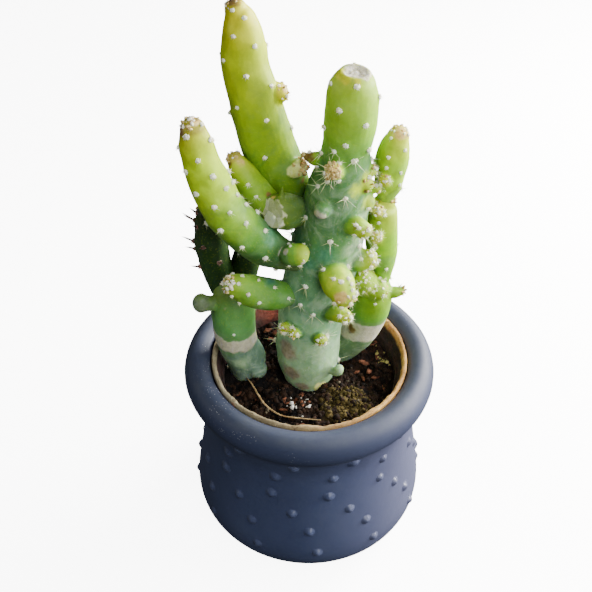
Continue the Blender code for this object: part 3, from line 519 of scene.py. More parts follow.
class Shader:
    """A procedural material, put together socket by socket."""

    def __init__(self, name):
        self.material = bpy.data.materials.new(name)
        self.material.use_nodes = True
        self.nodes = self.material.node_tree.nodes
        self.links = self.material.node_tree.links
        self.surface = self.nodes["Principled BSDF"]
        self.place = self.nodes.new("ShaderNodeTexCoord").outputs["Object"]

    def put(self, socket, value):
        if isinstance(value, bpy.types.NodeSocket):
            self.links.new(value, socket)
        else:
            socket.default_value = value

    def noise(self, per_metre, detail, rough, twist=0.0):
        node = self.nodes.new("ShaderNodeTexNoise")
        facts = {"Scale": per_metre, "Detail": detail, "Roughness": rough, "Distortion": twist}
        self.put(node.inputs["Vector"], self.place)
        for key, value in facts.items():
            self.put(node.inputs[key], value)
        return node.outputs[0]

    def cells(self, per_metre, wanted="Distance"):
        """Voronoi cells: the distance from their middles, or a colour for each."""
        node = self.nodes.new("ShaderNodeTexVoronoi")
        self.put(node.inputs["Vector"], self.place)
        self.put(node.inputs["Scale"], per_metre)
        return node.outputs[wanted]

    def field(self, name):
        node = self.nodes.new("ShaderNodeAttribute")
        node.attribute_name = name
        return node.outputs["Fac"]

    def math(self, operation, a, b=0.0):
        node = self.nodes.new("ShaderNodeMath")
        node.operation = operation
        self.put(node.inputs[0], a)
        self.put(node.inputs[1], b)
        return node.outputs[0]

    def times(self, a, b):
        return self.math("MULTIPLY", a, b)

    def span(self, value, low, high, out_low=0.0, out_high=1.0):
        """Value from low to high, eased onto out_low to out_high and held there beyond."""
        node = self.nodes.new("ShaderNodeMapRange")
        node.interpolation_type = "SMOOTHSTEP"
        facts = {"Value": value, "From Min": low, "From Max": high, "To Min": out_low, "To Max": out_high}
        for key, amount in facts.items():
            self.put(node.inputs[key], amount)
        return node.outputs[0]

    def ramp(self, value, stops):
        """Colours along a value. Each stop is its place and the red, green and blue seen on a screen."""
        node = self.nodes.new("ShaderNodeValToRGB")
        self.put(node.inputs[0], value)
        elements = node.color_ramp.elements
        for element, (position, *colour) in zip(elements, (stops[0], stops[-1])):
            element.position = position
            element.color = linear(colour)
        for position, *colour in stops[1:-1]:
            elements.new(position).color = linear(colour)
        return node.outputs[0]

    def blend(self, share, a, b):
        """From colour a to colour b. A plain colour is given as seen on a screen."""
        node = self.nodes.new("ShaderNodeMix")
        node.data_type = "RGBA"
        self.put(node.inputs[0], share)
        self.put(node.inputs[6], a)
        self.put(node.inputs[7], linear(b) if isinstance(b, tuple) else b)
        return node.outputs[2]

    def coat(self, base, colour, value, low, high, most=1.0, least=0.0):
        """Lays a colour over the base where a value runs from low to high, least to most strongly."""
        return self.blend(self.span(value, low, high, least, most), base, colour)

    def relief(self, *layers):
        """Bumps, each of a height field, its depth in millimetres and its strength."""
        normal = None
        for height, depth, strength in layers:
            node = self.nodes.new("ShaderNodeBump")
            node.inputs["Strength"].default_value = strength
            node.inputs["Distance"].default_value = depth * MM
            self.put(node.inputs["Height"], height)
            if normal:
                self.links.new(normal, node.inputs["Normal"])
            normal = node.outputs[0]
        self.links.new(normal, self.surface.inputs["Normal"])

    def axis(self, index):
        """X, Y or Z of the place: 0, 1 or 2."""
        node = self.nodes.new("ShaderNodeSeparateXYZ")
        self.links.new(self.place, node.inputs[0])
        return node.outputs[index]

    def set(self, **values):
        for key, value in values.items():
            self.put(self.surface.inputs[key.replace("_", " ")], value)


def show(name, data):
    """A new object in the scene, of a mesh, a light or a camera."""
    shown = bpy.data.objects.new(name, data)
    bpy.context.scene.collection.objects.link(shown)
    return shown


def write_field(mesh, name, values):
    """A number for each point of a mesh, which its material reads by name."""
    layer = mesh.attributes.new(name, "FLOAT", "POINT")
    layer.data.foreach_set("value", np.array(values, dtype=np.float32))


def add_piece(name, mesh, material, replaces=()):
    """A finished piece of the object, riding on its one body."""
    piece = show(name, mesh)
    mesh.materials.clear()
    mesh.materials.append(material)
    mesh.shade_smooth()
    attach(piece, "root")
    if replaces:
        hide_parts(*replaces)


def mesh_of(name, work):
    """Turns a finished bmesh into a mesh."""
    mesh = bpy.data.meshes.new(name)
    work.normal_update()
    work.to_mesh(mesh)
    work.free()
    return mesh


def turns(count):
    """The angles of corners spread evenly round a circle."""
    return [math.tau * step / count for step in range(count)]


def join_rings(work, rings):
    """Faces between each ring of corners and the next."""
    for low, high in zip(rings, rings[1:]):
        for step in range(len(low)):
            after = (step + 1) % len(low)
            work.faces.new((low[step], low[after], high[after], high[step]))


def join_disc(work, rings):
    """Faces from a middle corner, which is the first ring, out to the last ring."""
    for side in range(len(rings[1])):
        after = (side + 1) % len(rings[1])
        work.faces.new((rings[0][0], rings[1][side], rings[1][after]))
        for low, high in zip(rings[1:], rings[2:]):
            work.faces.new((low[side], high[side], high[after], low[after]))


def drawn(rng, low, high):
    """A random vector, level parts from -1 to 1 and its height from low to high."""
    return Vector((rng.uniform(-1, 1), rng.uniform(-1, 1), rng.uniform(low, high)))


def smooth_step(value, low, high):
    t = min(max((value - low) / (high - low), 0.0), 1.0)
    return t * t * (3 - 2 * t)


def catmull_rom(knots, place):
    """A value on the curve through the knots, where place counts spans from 0."""
    spans = len(knots) - 1
    span = min(int(place), spans - 1)
    t = place - span
    before = knots[max(span - 1, 0)]
    after = knots[min(span + 2, spans)]
    a, b = knots[span], knots[span + 1]
    return (
        before * (-t / 2 + t * t - t ** 3 / 2) + a * (1 - 2.5 * t * t + 1.5 * t ** 3)
        + b * (t / 2 + 2 * t * t - 1.5 * t ** 3) + after * (-t * t / 2 + t ** 3 / 2)
    )


def curve_through(path, count):
    """Positions and radii along a smooth curve, in metres."""
    knots = [Vector(point) * MM for point in path]
    rows = [catmull_rom(knots, step / (count - 1) * (len(knots) - 1)) for step in range(count)]
    return [(row.xyz, row.w) for row in rows]


def path_length(path):
    return sum((Vector(b[:3]) - Vector(a[:3])).length for a, b in zip(path, path[1:]))


def fine_profile(profile, rows):
    """A turned profile, made smooth and even: radius and height in metres."""
    knots = [Vector(point) * MM for point in profile]
    count = PROFILE_SAMPLES * (len(knots) - 1) + 1
    dense = [catmull_rom(knots, step / PROFILE_SAMPLES) for step in range(count)]
    marks = [0.0]
    for a, b in zip(dense, dense[1:]):
        marks.append(marks[-1] + (b - a).length)
    even = []
    index = 0
    for row in range(rows):
        goal = marks[-1] * row / (rows - 1)
        while index < len(marks) - 2 and marks[index + 1] < goal:
            index += 1
        share = (goal - marks[index]) / max(marks[index + 1] - marks[index], 1e-9)
        even.append(dense[index].lerp(dense[index + 1], share))
    return even


def turned(rows, sides, shape, closed=False):
    """A lathe body. shape moves each point, by its radius and way out, and points on the axis are welded."""
    work = bmesh.new()
    rings = []
    for radius, height in rows:
        ring = []
        for turn in turns(sides):
            out = Vector((math.cos(turn), math.sin(turn), 0))
            point = Vector((radius * math.cos(turn), radius * math.sin(turn), height))
            ring.append(work.verts.new(shape(point, radius, out)))
        rings.append(ring)
    join_rings(work, rings + rings[:1] if closed else rings)
    bmesh.ops.remove_doubles(work, verts=work.verts, dist=1e-6)
    bmesh.ops.recalc_face_normals(work, faces=work.faces)
    return work


def wall_at(height):
    """Radius of the cover pot's outer wall at a height, in millimetres."""
    wall = sorted(POT_PROFILE[POT_OUTSIDE_FROM:-2], key=lambda point: point[1])
    for (r0, z0), (r1, z1) in zip(wall, wall[1:]):
        if z0 <= height <= z1 and z1 > z0:
            return r0 + (r1 - r0) * (height - z0) / (z1 - z0)
    return wall[-1][0]


def add_dot(work, height, turn, rng):
    """A soft bell-shaped bump of clay slip on the pot's wall."""
    reach = DOT_REACH * rng.uniform(0.92, 1.08)
    rise = DOT_RISE * rng.uniform(0.9, 1.1)
    rings = []
    for ring in range(DOT_RINGS + 1):
        share = ring / DOT_RINGS
        lift = rise * (1 - share * share) ** 1.6 - 0.12 * share
        row = []
        for around in turns(DOT_SIDES if ring else 1):
            z = height + reach * share * math.sin(around)
            wall = wall_at(z)
            lean = turn + reach * share * math.cos(around) / wall
            out = Vector((math.sin(lean), -math.cos(lean), 0))
            row.append(work.verts.new((out * (wall + lift) + Vector((0, 0, z))) * MM))
        rings.append(row)
    join_disc(work, rings)


def glaze_material():
    s = Shader("blue_glaze")
    base = s.ramp(s.noise(28, 4, 0.6, 0.4), ((0.25, 45, 53, 80), (0.5, 52, 61, 90), (0.78, 62, 70, 96)))
    grain = s.noise(900, 4, 0.7)
    base = s.coat(base, (72, 78, 96), grain, 0.35, 0.75, 0.3)
    # Painted reflection: the glaze is tinted paler and greyer towards the right, standing in for the window's
    # glare on that side.
    base = s.coat(base, (86, 82, 96), s.axis(0), 0.0, 0.045, 0.35)
    base = s.coat(base, (36, 43, 64), s.axis(2), 0.0675, 0.073, 0.75)
    top = s.span(s.axis(2), 0.0800, 0.0832)
    rubbed = s.times(top, s.span(s.noise(60, 5, 0.7), 0.35, 0.7, 0.2, 0.7))
    base = s.blend(rubbed, base, (66, 71, 80))
    specks = s.times(s.span(s.cells(1050), 0.15, 0.09, 0.0, 0.75), s.span(s.noise(44, 3, 0.6), 0.54, 0.62))
    specks = s.times(specks, s.span(s.axis(2), 0.058, 0.074))
    base = s.blend(specks, base, (216, 218, 216))
    base = s.coat(base, (150, 138, 120), s.axis(2), 0.0016, 0.0004)
    s.set(Base_Color=base, Roughness=s.span(grain, 0.3, 0.7, 0.56, 0.66), Specular_IOR_Level=0.32)
    s.set(Coat_Weight=s.times(s.field("dot"), 0.7), Coat_Roughness=0.16)
    s.relief((s.noise(240, 3, 0.5), 0.12, 0.5), (grain, 0.03, 0.6))
    return s.material


def make_cover_pot():
    def wobble(point, radius, out):
        swell = noise.noise(point * 28) * 0.22 * MM
        return point + out * swell * smooth_step(radius, 0.01, 0.03) * smooth_step(point.z, 0.001, 0.01)

    work = turned(fine_profile(POT_PROFILE, POT_ROWS), POT_SIDES, wobble)
    wall_points = len(work.verts)
    rng = random.Random(11)
    for height, first_turn in DOT_ROWS:
        for index in range(DOTS_IN_ROW):
            add_dot(work, height, math.radians(first_turn + 360 * index / DOTS_IN_ROW), rng)
    mesh = mesh_of("glazed_pot", work)
    write_field(mesh, "dot", [index >= wall_points for index in range(len(mesh.vertices))])
    add_piece("glazed_pot", mesh, glaze_material(), ["cover_pot"])


def clay_material():
    s = Shader("clay")
    patch = s.noise(45, 4, 0.65)
    right = s.span(s.axis(0), -0.02, 0.034)
    tones = ((0.2, 128, 84, 40), (0.45, 170, 126, 62), (0.62, 202, 162, 88), (0.8, 222, 192, 128))
    warm = s.ramp(patch, tones)
    grey = s.ramp(patch, ((0.2, 100, 88, 62), (0.5, 134, 122, 92), (0.8, 168, 158, 128)))
    base = s.blend(right, grey, warm)
    base = s.coat(base, (162, 92, 66), s.noise(130, 3, 0.6), 0.62, 0.7, 0.7)
    base = s.coat(base, (84, 60, 38), s.noise(420, 4, 0.7), 0.52, 0.7, 0.75)
    base = s.coat(base, (206, 186, 148), s.noise(1100, 3, 0.7), 0.6, 0.7, 0.6)
    # Below the brim the wall darkens nearly to black: soil stain and painted shade in the recess above the
    # soil. Towards the back the darkened wall is redder and lighter.
    wall = s.ramp(s.noise(160, 4, 0.7), ((0.3, 16, 9, 6), (0.55, 44, 22, 13), (0.8, 74, 38, 22)))
    red_wall = s.ramp(s.noise(160, 4, 0.7), ((0.3, 40, 15, 9), (0.5, 104, 44, 30), (0.75, 158, 78, 58)))
    wall = s.coat(wall, red_wall, s.axis(1), 0.026, 0.034)
    base = s.coat(base, wall, s.axis(2), 0.0808, 0.0788)
    s.set(Base_Color=base, Roughness=0.95)
    s.relief((s.noise(520, 5, 0.7), 0.6, 0.9), (s.cells(900), 0.25, 0.6))
    return s.material


def make_clay_pot():
    def chipped(point, radius, out):
        brim = smooth_step(point.z / MM, BRIM_FROM, BRIM_FROM + 6)
        coarse = noise.noise(point * 190) * 0.5 + noise.noise(point * 520) * 0.4
        fine = noise.noise(point * 1300) * 0.22
        inward = -1 if radius < 0.038 else 0.1
        shift = out * inward * (coarse + 0.1) + Vector((0, 0, coarse + fine - 0.15))
        return point + shift * brim * MM * 0.75

    work = turned(fine_profile(CLAY_PROFILE, CLAY_ROWS), CLAY_SIDES, chipped, closed=True)
    add_piece("clay_nursery_pot", mesh_of("clay_nursery_pot", work), clay_material(), ["clay_pot"])


def soil_height(x, y):
    """Height of the soil over a point, all in millimetres, as in the solid."""
    height = SOIL_TOP
    for rise, along_x, along_y, phase in SOIL_WAVES:
        height += rise * math.sin(x * along_x + y * along_y + phase)
    across = math.hypot(x - MOUND_CENTRE[0], y - MOUND_CENTRE[1]) / MOUND_REACH
    return height + MOUND_HEIGHT * math.exp(-across * across)


def rough_soil_height(x, y):
    """The solid's soil height with crumbs and clods on it."""
    point = Vector((x, y, 0))
    clods = noise.fractal(point * 0.22, 0.8, 2.1, 5) * 1.1
    crumbs = abs(noise.noise(point * 0.9)) * 1.1 + abs(noise.noise(point * 2.0 + Vector((9, 4, 1)))) * 0.7
    edge = smooth_step(math.hypot(x, y), SOIL_EDGE[0], SOIL_EDGE[0] - 3)
    return soil_height(x, y) * edge + SOIL_EDGE[1] * (1 - edge) + (clods + crumbs - 0.6) * (0.3 + 0.7 * edge)


def moss_share(x, y):
    """How mossy the soil is at a point, in millimetres."""
    across = math.hypot(x - MOSS_CENTRE[0], (y - MOSS_CENTRE[1]) * 0.9) / MOSS_REACH
    return smooth_step(1.25 - across + 0.5 * noise.noise(Vector((x, y, 3)) * 0.35), 0.1, 0.7)


def soil_material():
    s = Shader("potting_soil")
    tones = ((0.35, 10, 10, 11), (0.5, 18, 15, 14), (0.62, 38, 27, 19), (0.75, 80, 50, 30))
    base = s.ramp(s.noise(160, 5, 0.7), tones)
    base = s.coat(base, (70, 34, 20), s.noise(90, 4, 0.65), 0.6, 0.72, 0.5)
    brown = s.ramp(s.noise(420, 4, 0.7), ((0.42, 8, 6, 5), (0.6, 46, 27, 15), (0.76, 104, 60, 34)))
    base = s.coat(base, brown, s.axis(0), -0.006, 0.012, 0.45)
    moss = s.ramp(s.noise(700, 4, 0.7), ((0.3, 22, 18, 6), (0.55, 60, 50, 20), (0.75, 104, 90, 44)))
    base = s.blend(s.field("moss"), base, moss)
    s.set(Base_Color=base, Roughness=0.95, Specular_IOR_Level=0.1)
    s.relief((s.noise(900, 5, 0.75), 0.6, 0.9))
    return s.material


def make_soil():
    work = bmesh.new()
    rings = []
    for row in range(SOIL_ROWS + 1):
        radius = SOIL_EDGE[0] * (row / SOIL_ROWS) ** 0.8
        ring = []
        for turn in turns(SOIL_SIDES if row else 1):
            x, y = radius * math.cos(turn), radius * math.sin(turn)
            ring.append(work.verts.new((x * MM, y * MM, rough_soil_height(x, y) * MM)))
        rings.append(ring)
    foot = []
    for turn in turns(SOIL_SIDES):
        spot = Vector((math.cos(turn), math.sin(turn), 0)) * SOIL_FOOT_RADIUS + Vector((0, 0, SOIL_FLOOR))
        foot.append(work.verts.new(spot * MM))
    rings.append(foot)
    join_disc(work, rings)
    work.faces.new(list(reversed(foot)))
    mesh = mesh_of("soil_bed", work)
    write_field(mesh, "moss", [moss_share(v.co.x / MM, v.co.y / MM) for v in mesh.vertices])
    add_piece("soil_bed", mesh, soil_material(), ["soil"])


def ball(detail):
    """Corners and faces of a ball of triangles."""
    work = bmesh.new()
    bmesh.ops.create_icosphere(work, subdivisions=detail, radius=1)
    work.verts.index_update()
    corners = [corner.co.copy() for corner in work.verts]
    faces = [[corner.index for corner in face.verts] for face in work.faces]
    work.free()
    return corners, faces


def add_lump(work, place, size, rng, rough=0.3, detail=1):
    """An irregular grain: a small ball, squashed and roughened."""
    axis = Vector((rng.uniform(-1, 1), rng.uniform(-1, 1), 1)).normalized()
    turned_size = Matrix.Rotation(rng.uniform(0, math.tau), 3, axis) @ Matrix.Diagonal(size)
    shift = Vector((rng.uniform(0, 99), rng.uniform(0, 99), rng.uniform(0, 99)))
    corners, faces = BALLS[detail]
    made = []
    for corner in corners:
        away = turned_size @ corner
        bulge = noise.noise(away.normalized() * LUMP_GRAIN + shift)
        made.append(work.verts.new(place + away * (1 + rough * bulge * 2)))
    for face in faces:
        work.faces.new([made[index] for index in face])


def grain_material(name, dark, light, per_metre, rough=0.9):
    s = Shader(name)
    s.set(Base_Color=s.ramp(s.noise(per_metre, 4, 0.65), ((0.35, *dark), (0.68, *light))), Roughness=rough)
    s.set(Specular_IOR_Level=0.15)
    s.relief((s.noise(per_metre * 2, 4, 0.7), 0.15, 0.6))
    return s.material


def is_free_ground(x, y):
    """Whether a point on the soil is clear of the stems' feet."""
    for name in ("main_stem", "left_foot_stem", "right_foot_stem"):
        for px, py, _, radius in STEMS[name]["path"][1:4]:
            if math.hypot(x - px, y - py) < radius + FOOT_PLAY:
                return False
    return math.hypot(x, y) < SOIL_EDGE[0] - 1


def scatter(name, dark, light, per_metre, seed, count, sizes, rough, centre, reach, lift):
    """Strews grains over the free soil round a centre."""
    rng = random.Random(seed)
    work = bmesh.new()
    placed = 0
    while placed < count:
        turn, away = rng.uniform(0, math.tau), reach * math.sqrt(rng.random())
        x, y = centre[0] + away * math.cos(turn), centre[1] + away * math.sin(turn)
        if not is_free_ground(x, y):
            continue
        half = sizes[0] + (sizes[1] - sizes[0]) * rng.random() ** 2
        size = (half, half * rng.uniform(0.5, 0.9), half * GRAIN_FLATNESS * rng.uniform(0.7, 1.2))
        place = Vector((x, y, rough_soil_height(x, y) + half * GRAIN_FLATNESS * lift)) * MM
        add_lump(work, place, [value * MM for value in size], rng, rough)
        placed += 1
    add_piece(name, mesh_of(name, work), grain_material(name, dark, light, per_metre))


def add_chip(work, x, y, length, width, turn, tilt, rng):
    """A splinter of bark: a wedge with a torn outline."""
    place = Matrix.Translation(Vector((x, y, rough_soil_height(x, y) + 0.6)) * MM)
    place = place @ Matrix.Rotation(turn, 4, "Z") @ Matrix.Rotation(tilt, 4, "Y")
    outline = []
    for around in turns(CHIP_SIDES):
        pull = rng.uniform(0.7, 1.15)
        outline.append(Vector((length / 2 * math.cos(around) * pull, width / 2 * math.sin(around) * pull, 0)))
    thick = width * 0.18
    low, high = [], []
    for point in outline:
        under = point - Vector((0, 0, thick * rng.uniform(0.6, 1)))
        over = point * 0.85 + Vector((0, 0, thick * rng.uniform(0.5, 1)))
        low.append(work.verts.new(place @ (under * MM)))
        high.append(work.verts.new(place @ (over * MM)))
    join_rings(work, [low, high])
    work.faces.new(high)
    work.faces.new(list(reversed(low)))


def make_bark():
    rng = random.Random(5)
    work = bmesh.new()
    for x, y, length, width, turn in BARK_CHIPS:
        add_chip(work, x, y, length, width, math.radians(turn), rng.uniform(-0.5, 0.5), rng)
    add_piece("bark_chips", mesh_of("bark_chips", work),
              grain_material("bark", (48, 24, 14), (132, 84, 60), 420))


def ring_round(work, centre, side, other, radius, sides):
    """Corners round a centre, in the plane of two directions."""
    ways = [side * math.cos(turn) + other * math.sin(turn) for turn in turns(sides)]
    return [work.verts.new(centre + way * radius) for way in ways]


def along_at(samples, index):
    """The direction in which (position, radius) samples run at one of them."""
    low, high = max(index - 1, 0), min(index + 1, len(samples) - 1)
    return (samples[high][0] - samples[low][0]).normalized()


def tube(work, samples, sides):
    """A closed tube through (position, radius) samples, without twist."""
    side = None
    rings = []
    for index, (centre, radius) in enumerate(samples):
        along = along_at(samples, index)
        if side is None:
            side = along.orthogonal().normalized()
        side = (side - along * side.dot(along)).normalized()
        other = along.cross(side)
        rings.append(ring_round(work, centre, side, other, radius, sides))
    join_rings(work, rings)
    work.faces.new(list(reversed(rings[0])))
    work.faces.new(rings[-1])


def make_straw():
    work = bmesh.new()
    tube(work, curve_through(STRAW, 48), 8)
    beside = [(p + Vector(SECOND_STRAND) * MM, r * 0.7) for p, r in curve_through(STRAW[:5], 30)]
    tube(work, beside, 6)
    add_piece("dry_straw", mesh_of("dry_straw", work),
              grain_material("straw", (110, 84, 52), (190, 164, 118), 400, 0.7))


def make_ground_cover():
    for name, facts in GRAINS.items():
        scatter(name, *facts)


class Surface:
    """Where the areoles of one stem or bud sit, measured down from its tip."""

    def __init__(self, path, round_tip):
        self.samples = list(reversed(curve_through(path, SPIRAL_SAMPLES)))
        self.tip_radius = self.samples[0][1]
        self.tip_arc = self.tip_radius * math.pi / 2 if round_tip else 0
        self.marks = [self.tip_arc]
        for (a, _), (b, _) in zip(self.samples, self.samples[1:]):
            self.marks.append(self.marks[-1] + (b - a).length)
        self.length = self.marks[-1]

    def frame(self, index):
        up = -along_at(self.samples, index)
        front = Vector((0, -1, 0))
        front = (front - up * front.dot(up)).normalized()
        return up, front, up.cross(front)

    def at(self, distance, turn):
        """Position at a distance from the tip and a turn from the front."""
        if distance < self.tip_arc:
            lift = math.pi / 2 - distance / self.tip_radius
            up, front, right = self.frame(0)
            side = front * math.cos(turn) + right * math.sin(turn)
            return self.samples[0][0] + (side * math.cos(lift) + up * math.sin(lift)) * self.tip_radius
        index = 0
        while index < len(self.marks) - 2 and self.marks[index + 1] < distance:
            index += 1
        t = (distance - self.marks[index]) / (self.marks[index + 1] - self.marks[index])
        (a, ra), (b, rb) = self.samples[index], self.samples[index + 1]
        _, front, right = self.frame(index)
        side = front * math.cos(turn) + right * math.sin(turn)
        return a.lerp(b, t) + side * (ra + (rb - ra) * t)


def bud_paths(stem):
    return [path for _, *path in stem.get("buds", ())]


def axis_samples(stem):
    """Position, radius and share of the way down for the stem, and then for each bud."""
    groups = []
    for path in [stem["path"]] + bud_paths(stem):
        count = max(int(path_length(path) / PATH_STEP), 6)
        rows = enumerate(reversed(curve_through(path, count)))
        groups.append([(position, radius, index / (count - 1)) for index, (position, radius) in rows])
    return groups


def outside_of(points, group):
    """For each point, how far it lies outside a group of samples, and the nearest sample's share."""
    centres = np.array([row[0][:] for row in group])
    radii = np.array([row[1] for row in group])
    shares = np.array([row[2] for row in group])
    away = np.linalg.norm(points[:, None, :] - centres[None, :, :], axis=2) - radii[None, :]
    nearest = away.argmin(axis=1)
    return away[np.arange(len(points)), nearest], shares[nearest]


def gap_to_others(name, point):
    """How far a point is from the nearest other stem, in metres. Below zero, it lies inside one."""
    least = 1.0
    at = np.array([point[:]])
    for other, groups in AXES.items():
        if other != name:
            least = min([least] + [float(outside_of(at, group)[0][0]) for group in groups])
    return least


def with_dome(samples, at_end=True):
    rows = samples if at_end else list(reversed(samples))
    end, radius = rows[-1]
    out = (end - rows[-2][0]).normalized()
    for degrees in DOME_DEGREES:
        angle = math.radians(degrees)
        rows = rows + [(end + out * radius * math.sin(angle), radius * math.cos(angle))]
    return rows if at_end else list(reversed(rows))


def fused_skin(name, stem):
    """The stem and its buds as one even mesh, melted together at the joins."""
    work = bmesh.new()
    samples = curve_through(stem["path"], max(int(path_length(stem["path"]) / PATH_STEP), 12))
    if not stem.get("flat_tip"):
        samples = with_dome(samples)
    if stem.get("round_foot"):
        samples = with_dome(samples, at_end=False)
    tube(work, samples, SIDES)
    for path in bud_paths(stem):
        tube(work, with_dome(curve_through(path, max(int(path_length(path) / PATH_STEP), 5))), SIDES)
    helper = show(name + "_helper", mesh_of(name, work))
    remesh = helper.modifiers.new("Even", "REMESH")
    remesh.mode = "VOXEL"
    remesh.voxel_size = VOXEL
    smooth = helper.modifiers.new("Melt", "SMOOTH")
    smooth.factor = 0.5
    smooth.iterations = SMOOTH_TURNS
    bpy.context.view_layer.update()
    mesh = bpy.data.meshes.new_from_object(helper.evaluated_get(bpy.context.evaluated_depsgraph_get()))
    bpy.data.objects.remove(helper, do_unlink=True)
    return mesh


def sight_line(pixel):
    """Direction of the camera's line of sight through a pixel of the photograph."""
    focal = CAMERA_LENS / CAMERA_SENSOR * PHOTO_SIZE
    way = Vector((pixel[0] - PHOTO_SIZE / 2, PHOTO_SIZE / 2 - pixel[1], -focal))
    way.rotate(Matrix.Rotation(math.radians(CAMERA_TILT), 3, "X"))
    return way.normalized()


def on_skin(tree, pixel):
    """Where a pixel of the photograph falls on a skin, or else the skin's point nearest to that line."""
    start, way = Vector(CAMERA_PLACE), sight_line(pixel)
    position, normal, _, _ = tree.ray_cast(start, way)
    if position:
        return position, normal
    steps = [tree.find_nearest(start + way * step * MM) for step in range(*SIGHT_RANGE)]
    position, normal, _, _ = min(steps, key=lambda found: found[3])
    return position, normal


def is_seen(position, normal):
    """Whether the camera sees a point of the skins."""
    start = Vector(CAMERA_PLACE)
    way = position - start
    if normal.dot(way) > 0:
        return False
    for tree in TREES.values():
        _, _, _, distance = tree.ray_cast(start, way.normalized())
        if distance is not None and distance < way.length - SIGHT_SLACK:
            return False
    return True


def make_areole(name, position, normal):
    """An areole: its place, normal, way down the skin, share of the stem's length, and if it is on a bud."""
    below = Vector((0, 0, -1)) - normal * -normal.z
    if below.length < 0.2:
        below = Vector((0, -1, 0)) - normal * -normal.y
    at = np.array([position[:]])
    away, share = outside_of(at, AXES[name][0])
    return {
        "at": position,
        "normal": normal,
        "below": below.normalized(),
        "share": float(share[0]),
        "bud": any(outside_of(at, group)[0][0] < away[0] for group in AXES[name][1:]),
    }


def areoles_on(name, stem):
    """Every areole on the free skin: those that the photograph shows, and a spiral of others out of sight."""
    tree = TREES[name]
    shown = [make_areole(name, *on_skin(tree, pixel)) for pixel in SEEN_AREOLES.get(name, ())]
    found = list(shown)
    pitch, first_turn, hand = stem["spiral"]
    paths = [("stem", stem["path"], not stem.get("flat_tip"), pitch, first_turn, hand)]
    for index, (kind, *path) in enumerate(stem.get("buds", ())):
        if kind not in BARE_BUDS:
            paths.append((kind, path, True, BUD_PITCH, first_turn + BUD_TURN * index, -hand))
    for kind, path, round_tip, pitch, first_turn, hand in paths:
        surface = Surface(path, round_tip)
        step = 1
        while pitch * MM * step ** CROWDING < surface.length:
            down = pitch * MM * step ** CROWDING
            wanted = surface.at(down, math.radians(first_turn + hand * GOLDEN_TURN * step))
            step += 1
            position, normal, _, gap = tree.find_nearest(wanted)
            if gap > OFF_SKIN or position.z < (SOIL_TOP + CLEAR_OF_SOIL) * MM or on_cut_end(stem, position):
                continue
            if gap_to_others(name, position) < CLEAR_OF_STEMS:
                continue
            if shown:
                nearest = min((position - other["at"]).length for other in shown)
                if nearest < (APART if kind == "stem" else APART_ON_BUD):
                    continue
                if kind == "stem" and is_seen(position, normal):
                    continue
            found.append(make_areole(name, position, normal))
    return found


def with_normals(mesh):
    """Each point of a mesh, with the normal that it has before any of them moves."""
    return zip(mesh.vertices, [vertex.normal.copy() for vertex in mesh.vertices])


def raise_tubercles(mesh, areoles):
    """Lifts a low swelling under each areole, a little drawn out below it, and roughens the skin slightly."""
    tree = KDTree(len(areoles))
    for index, areole in enumerate(areoles):
        tree.insert(areole["at"] + areole["below"] * 0.7 * MM, index)
    tree.balance()
    for vertex, normal in with_normals(mesh):
        _, index, gap = tree.find(vertex.co)
        height = TUBERCLE_HEIGHT * (0.5 if areoles[index]["bud"] else 1.0)
        bump = height * math.exp(-(gap / TUBERCLE_REACH) ** 2)
        uneven = noise.noise(vertex.co * 160) * 0.18 + noise.noise(vertex.co * 480) * 0.06
        vertex.co += normal * (bump + uneven * MM)


def kinds_on(stem):
    """The kinds of patches on a stem, in the order in which they are laid on."""
    patches = stem.get("patches", {})
    return [kind for kind in PATCH_COLOURS if kind in patches or kind == "cream" and "band" in stem]


def on_cut_end(stem, position):
    """Whether a point lies on the scar or the cut face at a stem's end."""
    ends = [stem[key] for key in ("scar", "cut") if key in stem]
    return any((position - Vector(end[:3]) * MM).length < end[3] * MM for end in ends)


def slice_end(mesh, stem):
    """Presses a cut end flat, onto the plane of its knife cut."""
    if "cut" not in stem:
        return
    x, y, z, _, way = stem["cut"]
    foot, way = Vector((x, y, z)) * MM, Vector(way).normalized()
    for vertex in mesh.vertices:
        over = (vertex.co - foot).dot(way)
        if over > 0:
            vertex.co -= way * (over + noise.noise(vertex.co * 300) * 0.3 * MM)


def sink_scar(mesh, stem):
    """Hollows the scar that closes a healed end, and raises a lip round it."""
    if "scar" not in stem:
        return
    x, y, z, reach = (value * MM for value in stem["scar"])
    for vertex, normal in with_normals(mesh):
        away = (vertex.co - Vector((x, y, z))).length / reach
        if away < SCAR_LIMIT:
            hollow = -SCAR_DEPTH * smooth_step(1 - away, 0.0, 0.5) * (1 + noise.noise(vertex.co * 900) * 1.4)
            lip = SCAR_LIP * math.exp(-((away - 1.12) / 0.2) ** 2)
            vertex.co += normal * (hollow + lip) * MM


def raggedness(point):
    return noise.fractal(point * 420, 0.9, 2.0, 3)


def patch_shares(points, stem, kind):
    """How far patches of one kind cover each point of the skin. Cream also bands the foot of some stems."""
    shares = np.zeros(len(points))
    for x, y, z, reach in stem.get("patches", {}).get(kind, ()):
        away = np.linalg.norm(points - np.array((x, y, z)) * MM, axis=1) / (reach * MM)
        for index in np.flatnonzero(away < 1.5):
            inside = 1.15 - away[index] + 0.28 * raggedness(Vector(points[index]))
            shares[index] = max(shares[index], smooth_step(inside, 0.0, EDGES.get(kind, OTHER_EDGE)))
    if kind == "cream" and "band" in stem:
        low, high = stem["band"]
        for index in np.flatnonzero(np.abs(points[:, 2] / MM - (low + high) / 2) < (high - low) / 2 + 5):
            point = Vector(points[index])
            inside = min(point.z / MM - low, high - point.z / MM) + noise.noise(point * 90) * 2.4
            share = smooth_step(inside + raggedness(point) * 0.8, -0.4, 0.8)
            shares[index] = max(shares[index], share)
    return shares


